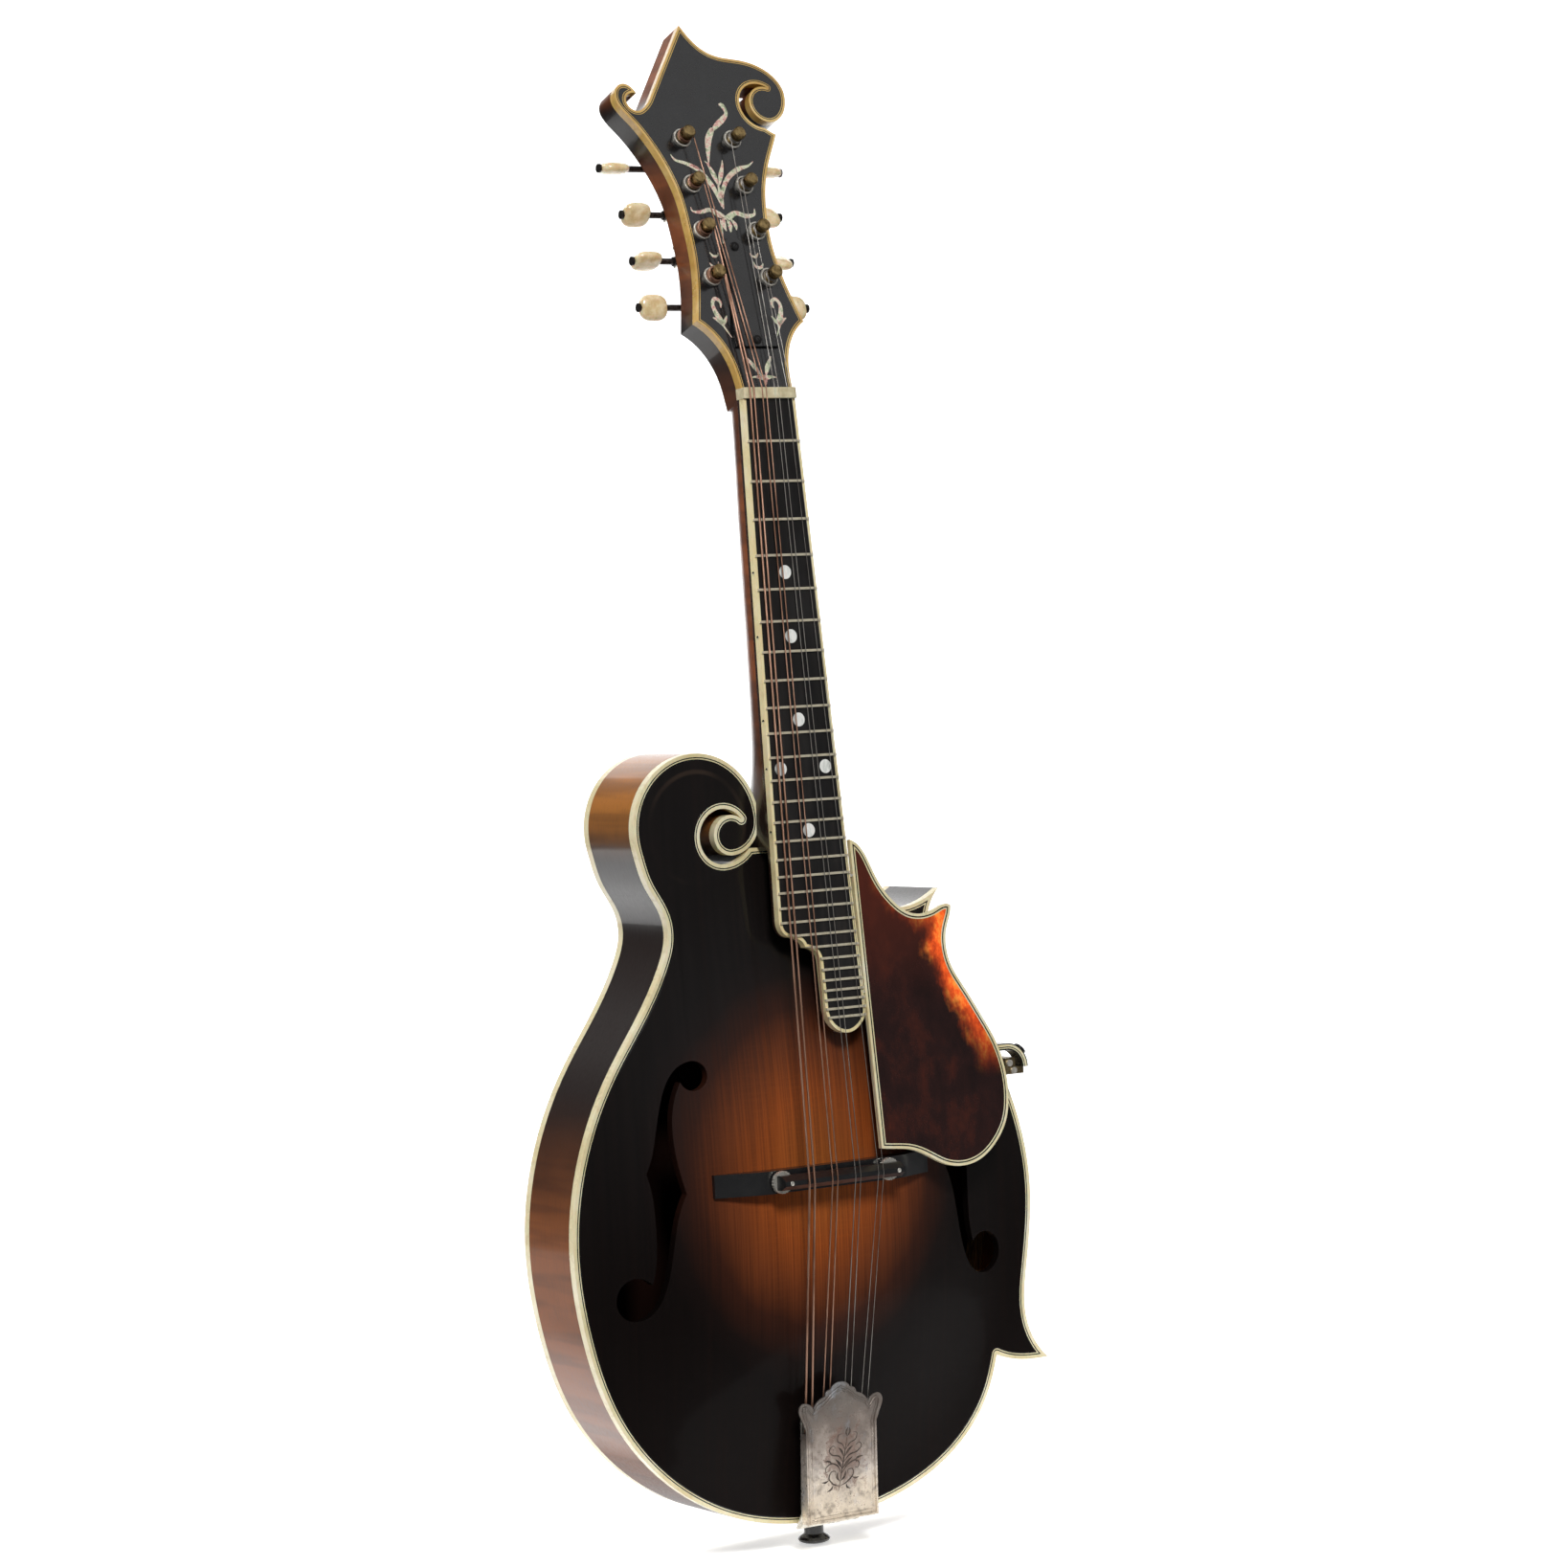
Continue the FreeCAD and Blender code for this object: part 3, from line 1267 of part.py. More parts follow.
feature("bridge_base", bridge_base().cut(compound([
    Part.makeCylinder(size("stud_radius"), 9, Vector(p.x, RIM - 15.0, p.z), -Y)
    for p in stud_places()])))
group("bridge_studs", [
    cylinder("Sizes.stud_radius", f"{RIM - 15.0 - STUD_TOP}", Vector(p.x, RIM - 15.0, p.z), -Y)
    for p in stud_places()])
feature("bridge_saddle", bridge_saddle())


def thumbwheel(name, place):
    """Knurled disc that turns on a stud and carries the saddle."""
    body = new_body(name, Placement(
        Vector(place.x, RIM - size("wheel_rise") - size("wheel_thick"), place.z), Rotation(X, -90)))
    sketch = new_sketch(body, "XY_Plane")
    draw_circle(sketch, 0, 0, "rim", "Sizes.wheel_radius")
    draw_circle(sketch, 0, 0, "bore", "Sizes.stud_radius + 0.05")
    pad(body, sketch, "Sizes.wheel_thick")
    knurl_sketch = new_sketch(body, "XY_Plane")
    draw_circle(knurl_sketch, size("wheel_radius") + 0.3, 0, "knurl", "0.55")
    knurl = body.newObject("PartDesign::Pocket", "Knurl")
    knurl.Profile = knurl_sketch
    knurl.Type = 1
    knurl.Midplane = True
    ring = body.newObject("PartDesign::PolarPattern", "Rim")
    ring.Originals = [knurl]
    ring.Axis = (origin_item(body, "Z_Axis"), [""])
    ring.Angle = 360
    ring.Occurrences = 24
    body.Tip = ring
    return body


for wheel_name, wheel_place in zip(("thumbwheel_bass", "thumbwheel_treble"), stud_places()):
    keep(wheel_name, thumbwheel(wheel_name.title(), wheel_place))

# ---------------------------------------------------------------- tailpiece and end pin

LEG_Z = 3.2
TAIL_SHEET = 1.2
HOOK_RADIUS = 0.9


def tailpiece_base():
    """Bent sheet: a leg on the end of the body, then a plate rising to the string hooks."""
    outer = ((16, LEG_Z), (-12.6, LEG_Z), (-17.2, 10.5), (-20.4, 58.0))
    inner = ((-19.2, 58.0), (-16.0, 10.9), (-12.0, LEG_Z + TAIL_SHEET), (16, LEG_Z + TAIL_SHEET))
    profile = Part.Face(Part.makePolygon(
        [Vector(0, y, z) for y, z in outer + inner] + [Vector(0, *outer[0])]))
    plate = profile.extrude(Vector(34, 0, 0))
    plate.translate(Vector(-17, 0, 0))
    leg_sides = compound([block(10, 20, -11.5, 20, 0, 6), block(-20, -10, -11.5, 20, 0, 6)])
    plate = plate.cut(leg_sides).cut(Part.makeCylinder(size("pin_shank") + 0.1, 6, Vector(), Z))
    for entry in STRINGS:
        post = rod(Vector(entry[2], -19.4, HOOK_Z - 1.6), Vector(entry[2], -23.4, HOOK_Z - 2.6),
                   HOOK_RADIUS)
        plate = plate.fuse(post)
    for x in (-6.5, 6.5):
        plate = plate.cut(Part.makeCylinder(1.1, 6, Vector(x, 10, 0), Z))
    return plate


def cover_outline():
    """Half of the cover's crest, foot to crown, in the cover's own frame."""
    half = size("cover_half")
    right = [
        straight(flat(0, 0), flat(half, 0)),
        straight(flat(half, 0), flat(half, 44.0)),
        curve(flat, ((half, 44.0), (20.6, 46.4), (20.9, 47.4))),
        curve(flat, ((20.9, 47.4), (22.6, 51.0), (23.1, 54.0), (21.4, 56.4), (18.4, 56.3),
                     (15.2, 53.2))),
        curve(flat, ((15.2, 53.2), (13.6, 55.8), (11.2, 57.6), (8.6, 58.5))),
        curve(flat, ((8.6, 58.5), (7.8, 60.6), (5.4, 61.3))),
        curve(flat, ((5.4, 61.3), (3.8, 63.2), (0.0, 64.3))),
    ]
    left = [mirrored(edge) for edge in right]
    return face_of(right + left)


def tailpiece_cover():
    """Stamped cover: shaped face, two side flanges and a foot flange."""
    sheet_metal, half = size("cover_sheet"), size("cover_half")
    solid = thick(cover_outline(), -sheet_metal, 0)
    flanges = [block(-half, -half + sheet_metal, 0, 42, -5, -0.2),
               block(half - sheet_metal, half, 0, 42, -5, -0.2),
               block(-half, half, 0, sheet_metal, -5, -0.2)]
    return solid.fuse(flanges).removeSplitter()


def end_pin():
    """Ebony end pin, turned: tapered shank, collar, neck and domed cap."""
    body = new_body("EndPinBody")
    sketch = new_sketch(body, "XZ_Plane")
    shank, neck_r, cap = size("pin_shank"), size("pin_radius"), size("pin_cap")
    reach = size("pin_neck") / 2
    draw_loop(sketch, ((0, 22.0), (shank, 22.0), (shank, LEG_Z), (5.4, LEG_Z), (5.4, reach),
                       (neck_r, reach), (neck_r, -reach), (cap - 0.9, -reach - 1.4),
                       (cap, -reach - 2.5), (cap - 0.6, -reach - 3.6), (cap - 2.4, -reach - 4.4),
                       (cap - 4.8, -reach - 4.9), (0, -reach - 5.1)))
    turned = body.newObject("PartDesign::Revolution", "Turned")
    turned.Profile = sketch
    turned.ReferenceAxis = (sketch, ["V_Axis"])
    turned.Angle = 360
    return body


feature("tailpiece_base", tailpiece_base())
feature("tailpiece_cover", tailpiece_cover(), COVER_PLACE)
keep("end_pin", end_pin())

# ---------------------------------------------------------------- pickguard

GUARD_LEFT = ((23.2, -205.5), (25.4, -348.8))
GUARD_EDGE = (
    (25.4, -348.8), (34.0, -349.8), (42.0, -351.0), (50.0, -354.2), (60.0, -359.4),
    (70.5, -361.3), (80.5, -359.2), (90.0, -352.6), (97.0, -343.0), (99.9, -330.0),
    (99.2, -318.0), (95.5, -305.5), (88.0, -291.5), (79.5, -277.5), (74.2, -268.5),
    (72.0, -259.5), (73.2, -250.0), (76.2, -242.5), (76.6, -239.6),
)
GUARD_TOP = (
    (76.6, -239.6), (74.2, -238.8), (68.0, -240.6), (60.0, -242.4), (52.0, -241.0),
    (45.0, -236.0), (39.0, -229.0), (34.5, -220.5), (31.0, -212.8), (28.0, -208.6),
    (23.2, -205.5),
)


def guard_outline():
    return face_of([straight(flat(*GUARD_LEFT[0]), flat(*GUARD_LEFT[1])),
                    curve(flat, GUARD_EDGE), curve(flat, GUARD_TOP)])


GUARD_FACE = guard_outline()
GUARD_RIM = GUARD_FACE.cut(inset(GUARD_FACE, size("guard_bind")))
GUARD_LINES = line_rings(GUARD_FACE, size("guard_bind"), size("guard_line"), 2)
GUARD_INNER = inset(GUARD_FACE, size("guard_bind") + 2 * size("guard_line"))
GUARD_HIGH = -size("guard_drop")
GUARD_LOW = GUARD_HIGH - size("guard_thick")
GUARD_LIP = 0.8

feature("pickguard", thick(GUARD_INNER, GUARD_LOW, GUARD_HIGH), NECK)
feature("purfling", compound([
    through(BODY_LINES[0], RIM, size("line_deep")), through(BODY_LINES[2], RIM, size("line_deep")),
    moved_to(NECK, thick(GUARD_LINES[0], GUARD_LOW, GUARD_HIGH)),
]))

CLAMP_Z = 206.4
CLAMP_X0, CLAMP_X1 = 104.5, 110.4
ARM_TURN = (103.4, CLAMP_Z)
ARM_START = 84.0
ARM_WIDE = 7.0
ARM_LAYERS = (11.8, 11.3, 10.2, 9.8, 9.3, 8.6)
KNOB_ANGLE = 40.0
CLAMP_OUT = 114.8
CLAMP_LOW, CLAMP_HIGH = CLAMP_Z - 3.4, CLAMP_Z + 4.4
FOOT_HIGH = CLAMP_Z + 1.6
BOLTS = ((106.8, CLAMP_Z + 2.0), (109.2, CLAMP_Z - 1.7))
EDGE_SCREW = Vector(CLAMP_OUT, RIM + 3.5, CLAMP_Z - 0.9)


def guard_back(z):
    """Row Y just behind the pickguard's rim at a height."""
    lean = math.sin(math.radians(size("neck_angle")))
    return NUT.y - board_down(z) * lean - GUARD_LOW + GUARD_LIP + 0.1


ARM_FRONT = guard_back(CLAMP_Z + ARM_LAYERS[0])


def arm_layer(outer, inner):
    """One sheet of the arm: straight under the guard, then bent down through a quarter turn."""
    x, z = ARM_TURN
    edges = [
        straight(at(ARM_START, z + inner), at(ARM_START, z + outer)),
        straight(at(ARM_START, z + outer), at(x, z + outer)),
        arc(at, ARM_TURN, outer, 90, 0),
        straight(at(x + outer, z), at(x + inner, z)),
        arc(at, ARM_TURN, inner, 0, 90),
        straight(at(x, z + inner), at(ARM_START, z + inner)),
    ]
    return through(face_of(edges), ARM_FRONT, ARM_WIDE)


def guard_arm():
    """Laminated arm of the pickguard in black and cream sheets, with its pad and knob."""
    sheets = [arm_layer(outer, inner) for outer, inner in zip(ARM_LAYERS, ARM_LAYERS[1:])]
    slab = polygon(flat, ((0, -200), (120, -200), (120, -360), (0, -360)))
    pad_z = CLAMP_Z + ARM_LAYERS[-1]
    pad = block(ARM_START, ARM_START + 7, ARM_FRONT - 6, ARM_FRONT, pad_z, pad_z + 3)
    pad = pad.cut(moved_to(NECK, thick(slab, GUARD_LOW, GUARD_HIGH + 9)))
    turn = math.radians(KNOB_ANGLE)
    out = Vector(math.cos(turn), 0, math.sin(turn))
    spot = Vector(ARM_TURN[0], ARM_FRONT + ARM_WIDE / 2, ARM_TURN[1]) + out * (ARM_LAYERS[0] + 0.02)
    knob = Part.makeCylinder(3.2, 1.3, spot, out)
    return sheets[0::2] + [knob, pad], sheets[1::2]


def guard_clamp():
    """Metal clamp: a bar to the arm's end, a post, and a foot that hugs the edge of the body."""
    front = ARM_FRONT + 3.6
    bar = block(CLAMP_X0, ARM_TURN[0] + ARM_LAYERS[0], front, front + 3.2, CLAMP_LOW, CLAMP_Z)
    post = block(CLAMP_X0, CLAMP_X1, front, RIM - 1, CLAMP_LOW, CLAMP_HIGH)
    foot = block(CLAMP_X0, CLAMP_OUT, RIM - 5, RIM + 9, CLAMP_LOW, FOOT_HIGH)
    solid = bar.fuse([post, foot]).removeSplitter()
    solid = solid.cut(through(OUTLINE, RIM, size("rim_depth"))).cut(TOP_FACE.extrude(Vector(0, 60, 0)))
    for x, z in BOLTS:
        solid = solid.cut(Part.makeCylinder(0.9, 4, Vector(x, ARM_FRONT + 2.6, z), Y))
    return solid.cut(Part.makeCylinder(1.0, 6, EDGE_SCREW - X * 4, X))


BLACK_SHEETS, CREAM_SHEETS = guard_arm()
feature("pickguard_bracket", compound(BLACK_SHEETS))
feature("pickguard_binding", compound([
    moved_to(NECK, thick(GUARD_RIM, GUARD_LOW - GUARD_LIP, GUARD_HIGH)),
    moved_to(NECK, thick(GUARD_LINES[1], GUARD_LOW, GUARD_HIGH)),
] + CREAM_SHEETS))
feature("pickguard_clamp", guard_clamp())

# ---------------------------------------------------------------- screws


def screw(x, y, z, out, head, shank, length):
    """A round-headed screw whose head stands out along the given direction."""
    spot = Vector(x, y, z)
    return Part.makeCylinder(head, 0.9, spot, out).fuse(
        Part.makeCylinder(shank, length, spot, Vector(out).multiply(-1)))


def all_screws():
    """Truss cover, tuner plate, tailpiece and clamp screws, and the guard's two pins."""
    made = []
    for v in (COVER_BOTTOM + 3.2, COVER_TOP - 6.0):
        made.append(moved_to(HEAD, screw(0, v, 1.6, Z, 2.0, 0.85, 1.5)))
    for x, v in PLATE_SCREWS:
        made.append(moved_to(HEAD, screw(x, v, HEAD_BACK - size("plate_sheet"), -Z, 1.7, 0.95, 1.1)))
    for x in (-6.5, 6.5):
        made.append(screw(x, 10, LEG_Z, -Z, 2.1, 1.05, 1.1))
    made.append(screw(*EDGE_SCREW, X, 2.3, 0.95, 1.2))
    for x, z in BOLTS:
        made.append(screw(x, ARM_FRONT + 3.6, z, -Y, 1.6, 0.85, 2.2))
    for down in (222.0, 276.0):
        high = (GUARD_HIGH + GUARD_LOW) / 2
        share = (down + GUARD_LEFT[0][1]) / (GUARD_LEFT[0][1] - GUARD_LEFT[1][1])
        edge = GUARD_LEFT[0][0] + share * (GUARD_LEFT[1][0] - GUARD_LEFT[0][0])
        pin = rod(Vector(board_half(down), -down, high), Vector(edge, -down, high), 0.7)
        made.append(moved_to(NECK, pin))
    return compound(made)


feature("small_screws", all_screws())

# ---------------------------------------------------------------- check and write

doc.recompute()

for obj in doc.Objects:
    if "Invalid" in obj.State or "Error" in obj.State:
        raise SystemExit(f"{obj.Label} failed: {obj.State}")

os.makedirs("parts", exist_ok=True)
for label, obj in nodes.items():
    shape = obj.Shape
    if shape.isNull() or not shape.isValid():
        raise SystemExit(f"{label} has a bad shape")
    if not shape.Solids:
        raise SystemExit(f"{label} has no solid")
    shape.exportStep(os.path.join("parts", label + ".step"))
    print(f"{label}: {len(shape.Solids)} solids, {shape.Volume / 1000:.2f} cm3")
print(len(nodes), "nodes")
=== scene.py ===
"""Looks of the mandolin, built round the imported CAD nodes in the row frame, in metres."""

import json
import math

import bmesh
import bpy
from mathutils import Matrix, Vector


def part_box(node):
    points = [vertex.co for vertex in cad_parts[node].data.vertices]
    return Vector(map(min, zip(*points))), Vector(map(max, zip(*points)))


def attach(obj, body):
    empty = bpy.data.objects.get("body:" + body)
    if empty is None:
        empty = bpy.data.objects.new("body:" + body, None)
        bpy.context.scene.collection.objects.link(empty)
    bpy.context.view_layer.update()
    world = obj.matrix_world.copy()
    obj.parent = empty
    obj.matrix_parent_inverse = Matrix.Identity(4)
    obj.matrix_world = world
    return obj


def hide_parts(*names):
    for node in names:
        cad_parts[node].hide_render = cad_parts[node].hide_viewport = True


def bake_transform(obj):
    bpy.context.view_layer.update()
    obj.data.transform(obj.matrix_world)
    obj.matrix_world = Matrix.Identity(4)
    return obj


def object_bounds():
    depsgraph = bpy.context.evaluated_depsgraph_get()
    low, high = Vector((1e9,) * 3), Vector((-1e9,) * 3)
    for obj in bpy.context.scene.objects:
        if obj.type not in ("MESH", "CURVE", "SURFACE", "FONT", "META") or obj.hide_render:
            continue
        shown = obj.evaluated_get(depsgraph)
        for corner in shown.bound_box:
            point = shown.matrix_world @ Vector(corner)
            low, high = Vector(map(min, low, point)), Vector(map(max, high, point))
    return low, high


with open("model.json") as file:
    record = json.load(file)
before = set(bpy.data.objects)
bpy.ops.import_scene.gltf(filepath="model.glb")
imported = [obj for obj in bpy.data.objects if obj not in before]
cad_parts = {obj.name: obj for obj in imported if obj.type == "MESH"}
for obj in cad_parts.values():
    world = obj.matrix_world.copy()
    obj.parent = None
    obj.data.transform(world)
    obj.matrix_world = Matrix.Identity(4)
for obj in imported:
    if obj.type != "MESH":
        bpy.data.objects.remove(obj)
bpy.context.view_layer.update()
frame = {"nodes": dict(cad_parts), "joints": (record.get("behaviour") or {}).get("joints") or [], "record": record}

MM = 0.001
ROOT = "soundbox_and_neck"
NODES = frame["nodes"]
JOINTS = {joint["name"]: joint for joint in frame["joints"]}

# ---------------------------------------------------------------- tilted frames, read from the record

FIRST_POST = 0.0609  # from the nut to the lowest post, along the peghead


def tilted(origin, up, out):
    """Frame with X to the treble side, Y along up and Z along out."""
    side = Vector((1, 0, 0))
    matrix = Matrix((side, up, out)).transposed().to_4x4()
    matrix.translation = origin
    return matrix


def head_frame():
    """Origin on the peghead's face at the nut, Z out of the face."""
    lowest_post = JOINTS["post_bass_1_turn"]
    out = Vector(lowest_post["axis"]).normalized()
    up = out.cross(Vector((1, 0, 0)))
    place = Vector(lowest_post["pos_m"])
    origin = place - up * FIRST_POST
    origin.x = 0
    return tilted(origin, up, out)


def cover_frame():
    """Origin at the foot of the tailpiece cover, Z out of its face."""
    up = Vector(JOINTS["tailpiece_cover_slide"]["axis"]).normalized()
    out = Vector((1, 0, 0)).cross(up)
    low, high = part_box("tailpiece_cover")
    lean = -up.y / up.z
    origin = Vector((0, low.y + (high.z - low.z) * lean, low.z))
    return tilted(origin, up, out)


HEAD = head_frame()
COVER = cover_frame()
HEAD_OUT = HEAD.to_3x3() @ Vector((0, 0, 1))
BOARD_OUT = Vector((1, 0, 0)).cross(Vector(JOINTS["truss_nut_turn"]["axis"]).normalized())
BOARD_FACE = max(BOARD_OUT.dot(v.co) for v in NODES["fingerboard_binding"].data.vertices)

# ---------------------------------------------------------------- material helpers


class Paint:
    """A procedural material, with short calls for its nodes."""

    def __init__(self, name):
        self.material = bpy.data.materials.new(name)
        self.material.use_nodes = True
        self.tree = self.material.node_tree
        self.tree.nodes.clear()
        self.out = self.tree.nodes.new("ShaderNodeOutputMaterial")
        self.shader = self.tree.nodes.new("ShaderNodeBsdfPrincipled")
        self.join(self.shader.outputs["BSDF"], self.out.inputs["Surface"])
        self.place = self.node("ShaderNodeTexCoord").outputs["Object"]

    def join(self, source, target):
        self.tree.links.new(source, target)

    def feed(self, socket, value):
        if isinstance(value, bpy.types.NodeSocket):
            self.join(value, socket)
        else:
            socket.default_value = value

    def node(self, kind, inputs=None, **settings):
        made = self.tree.nodes.new(kind)
        for key, value in settings.items():
            setattr(made, key, value)
        for key, value in (inputs or {}).items():
            self.feed(made.inputs[key], value)
        return made

    def scaled(self, factors):
        """The place, stretched by a factor on each axis."""
        return self.node("ShaderNodeVectorMath", {0: self.place, 1: factors},
                         operation="MULTIPLY").outputs[0]

    def noise(self, factors, detail=3.0, rough=0.55):
        """Cloudy values round a half, stretched by a factor on each axis."""
        return self.node("ShaderNodeTexNoise", {
            "Vector": self.scaled(factors), "Scale": 1.0, "Detail": detail, "Roughness": rough,
        }).outputs["Fac"]

    def sums(self, operation, a, b=0.0, c=0.0):
        return self.node("ShaderNodeMath", {0: a, 1: b, 2: c}, operation=operation).outputs[0]

    def remap(self, value, low, high, to_low=0.0, to_high=1.0):
        return self.node("ShaderNodeMapRange", {
            "Value": value, "From Min": low, "From Max": high, "To Min": to_low, "To Max": to_high,
        }, interpolation_type="SMOOTHSTEP").outputs["Result"]

    def ramp(self, value, stops):
        made = self.node("ShaderNodeValToRGB", {"Fac": value})
        points = made.color_ramp.elements
        while len(points) < len(stops):
            points.new(0.5)
        for point, (spot, colour) in zip(points, stops):
            point.position = spot
            point.color = (*colour, 1.0)
        return made.outputs["Color"]

    def blend(self, factor, a, b):
        """Colour a where the factor is 0, colour b where it is 1."""
        made = self.node("ShaderNodeMix", data_type="RGBA")
        self.feed(made.inputs["Factor"], factor)
        for key, value in ((6, a), (7, b)):
            self.feed(made.inputs[key], value if isinstance(value, bpy.types.NodeSocket)
                      else (*value, 1.0))
        return made.outputs[2]

    def axis(self, name, source=None):
        return self.node("ShaderNodeSeparateXYZ", {0: source or self.place}).outputs[name]

    def oval(self, middle, reach):
        """Distance from a middle (x, z), as a share of a reach on each axis."""
        squares = []
        for name, at, size in (("X", middle[0], reach[0]), ("Z", middle[1], reach[1])):
            share = self.sums("DIVIDE", self.sums("SUBTRACT", self.axis(name), at), size)
            squares.append(self.sums("MULTIPLY", share, share))
        return self.sums("SQRT", self.sums("ADD", *squares))

    def stirred(self, value, by, amount):
        """A value moved up and down by a noise."""
        return self.sums("MULTIPLY_ADD", self.sums("SUBTRACT", by, 0.5), amount, value)

    def along(self, way):
        """How far the place lies along a direction, in metres."""
        return self.node("ShaderNodeVectorMath", {0: self.place, 1: tuple(way)},
                         operation="DOT_PRODUCT").outputs["Value"]

    def bumps(self, layers, radius=0.0):
        """Chains bump layers of (height, strength, distance in mm); a radius rounds the edges."""
        normal = None
        if radius:
            normal = self.node("ShaderNodeBevel", {"Radius": radius * MM}, samples=4).outputs[0]
        for height, strength, distance in layers:
            inputs = {"Height": height, "Strength": strength, "Distance": distance * MM}
            if normal is not None:
                inputs["Normal"] = normal
            normal = self.node("ShaderNodeBump", inputs).outputs[0]
        if normal is not None:
            self.join(normal, self.shader.inputs["Normal"])

    def set(self, **values):
        names = {"colour": "Base Color", "rough": "Roughness", "metal": "Metallic",
                 "gloss": "Specular IOR Level", "coat": "Coat Weight",
                 "coat_rough": "Coat Roughness", "under": "Subsurface Weight",
                 "depth": "Subsurface Scale", "glow": "Emission Color",
                 "glow_power": "Emission Strength"}
        for key, value in values.items():
            if isinstance(value, tuple) and len(value) == 3:
                value = (*value, 1.0)
            self.feed(self.shader.inputs[names[key]], value)


def hexed(code):
    """Linear colour of an sRGB hex code."""
    parts = [int(code[i:i + 2], 16) / 255 for i in (0, 2, 4)]
    return tuple(c / 12.92 if c <= 0.04045 else ((c + 0.055) / 1.055) ** 2.4 for c in parts)


def scratches(paint):
    """Very fine, sparse handling marks for a bump chain."""
    return paint.noise((900, 900, 260), 4.0, 0.6), 0.08, 0.05


def waves(paint):
    """The gentle unevenness of old brushed lacquer."""
    return paint.noise((60, 60, 60), 2.0)


# ---------------------------------------------------------------- materials

# Places and sizes in metres, as (x, z) in the row frame.
SCROLL_AT, SCROLL_RIDGE, RIDGE_WIDE = (-0.0515, 0.3294), 0.0255, 0.005
BURST_AT, BURST_REACH = (-0.004, 0.172), (0.089, 0.100)
BACK_AT, BACK_REACH = (0.0, 0.155), (0.085, 0.12)
STAIN_AT, STAIN_REACH = (0.001, 0.036), (0.013, 0.02)

# Outer edge of the pickguard: share of its height, and X in tenths of a metre. Its upper edge is
# near the line from the crown's height, falling by the slope for each metre of X.
GUARD_FOOT, GUARD_TALL, GUARD_CROWN, GUARD_SLOPE = 0.17, 0.12, 0.333, -0.75
GUARD_REACH = ((0.0, 0.88), (0.1, 0.965), (0.21, 0.999), (0.31, 0.992), (0.41, 0.955), (0.53, 0.88),
               (0.65, 0.795), (0.8, 0.72), (0.97, 0.766))


def sunburst_top():
    """Spruce: amber middle, almost black edges, fine grain, a soft ridge round the scroll with a painted highlight
    along it.
    """
    p = Paint("spruce_sunburst")
    wander = p.noise((14, 14, 9), 3.0)
    reach = p.stirred(p.oval(BURST_AT, BURST_REACH), wander, 0.22)
    burst = p.ramp(reach, (
        (0.0, hexed("a45924")), (0.34, hexed("94491d")), (0.55, hexed("6c361a")),
        (0.74, hexed("361b11")), (0.9, hexed("150d0b")), (1.0, hexed("0d0908")),
    ))
    fibre = p.noise((1300, 80, 9), 4.0, 0.6)
    broad = p.noise((330, 60, 4), 2.0)
    silk = p.noise((70, 80, 1100), 2.0)
    dark = p.blend(p.remap(fibre, 0.36, 0.62, 0.36, 0.0), burst, hexed("120907"))
    dark = p.blend(p.remap(broad, 0.5, 0.7, 0.0, 0.16), dark, hexed("1c0f0a"))
    off_ridge = p.sums("ABSOLUTE", p.sums("SUBTRACT", p.oval(SCROLL_AT, (1.0, 1.0)), SCROLL_RIDGE))
    ridge = p.remap(off_ridge, 0.0, RIDGE_WIDE, 1.0, 0.0)
    # Painted highlight: a lighter grey-brown line along the ridge round the scroll, patchy with the noise.
    wear_and_highlight = p.sums("MULTIPLY", p.remap(ridge, 0.8, 1.0), p.remap(wander, 0.45, 0.6, 0.0, 0.16))
    toned = p.blend(p.remap(silk, 0.45, 0.75, 0.0, 0.3), dark, burst)
    lower = p.remap(p.axis("Z"), 0.1, 0.26)
    p.set(colour=p.blend(wear_and_highlight, toned, hexed("6b5646")),
          rough=p.remap(fibre, 0.3, 0.7, 0.5, 0.36), gloss=p.sums("MULTIPLY_ADD", lower, 0.17, 0.05),
          coat=p.sums("MULTIPLY_ADD", lower, 0.46, 0.05),
          coat_rough=p.remap(wander, 0.35, 0.65, 0.06, 0.16))
    p.bumps([(fibre, 0.1, 0.06), (waves(p), 0.12, 0.2),
             (p.noise((800, 800, 200), 4.0, 0.6), 0.08, 0.05), (ridge, 0.3, 0.4)], 0.25)
    return p.material


def figured_maple(name, light, dark, shade, lustre, bars, figure):
    """Lacquered maple: soft flame in bars across the grain, light or dark by place."""
    p = Paint(name)
    flame = p.noise(bars, 2.0, 0.45)
    fine = p.noise((900, 900, 90), 3.0)
    wide = p.noise((22, 16, 22), 2.0)
    body = p.blend(shade(p), light(p) if callable(light) else light, dark)
    barred = p.blend(p.remap(flame, 0.42, 0.66, 0.0, figure), body, dark)
    tone = p.blend(p.remap(wide, 0.4, 0.72, 0.0, 0.3), barred, hexed("1a0f0b"))
    p.set(colour=p.blend(p.remap(fine, 0.45, 0.78, 0.0, 0.2), tone, hexed("20120c")),
          rough=p.remap(fine, 0.3, 0.7, 0.4, 0.3), gloss=p.sums("MULTIPLY", lustre(p), 0.3),
          coat=p.sums("MULTIPLY", lustre(p), 0.6), coat_rough=p.remap(wide, 0.3, 0.7, 0.06, 0.14))
    p.bumps([(flame, 0.04, 0.08), (waves(p), 0.14, 0.25), scratches(p)], 0.2)
    return p.material


def side_light(p):
    """Amber on the scroll, red brown on the lower bout."""
    return p.blend(p.remap(p.axis("Z"), 0.2, 0.3), hexed("8c5028"), AMBER)


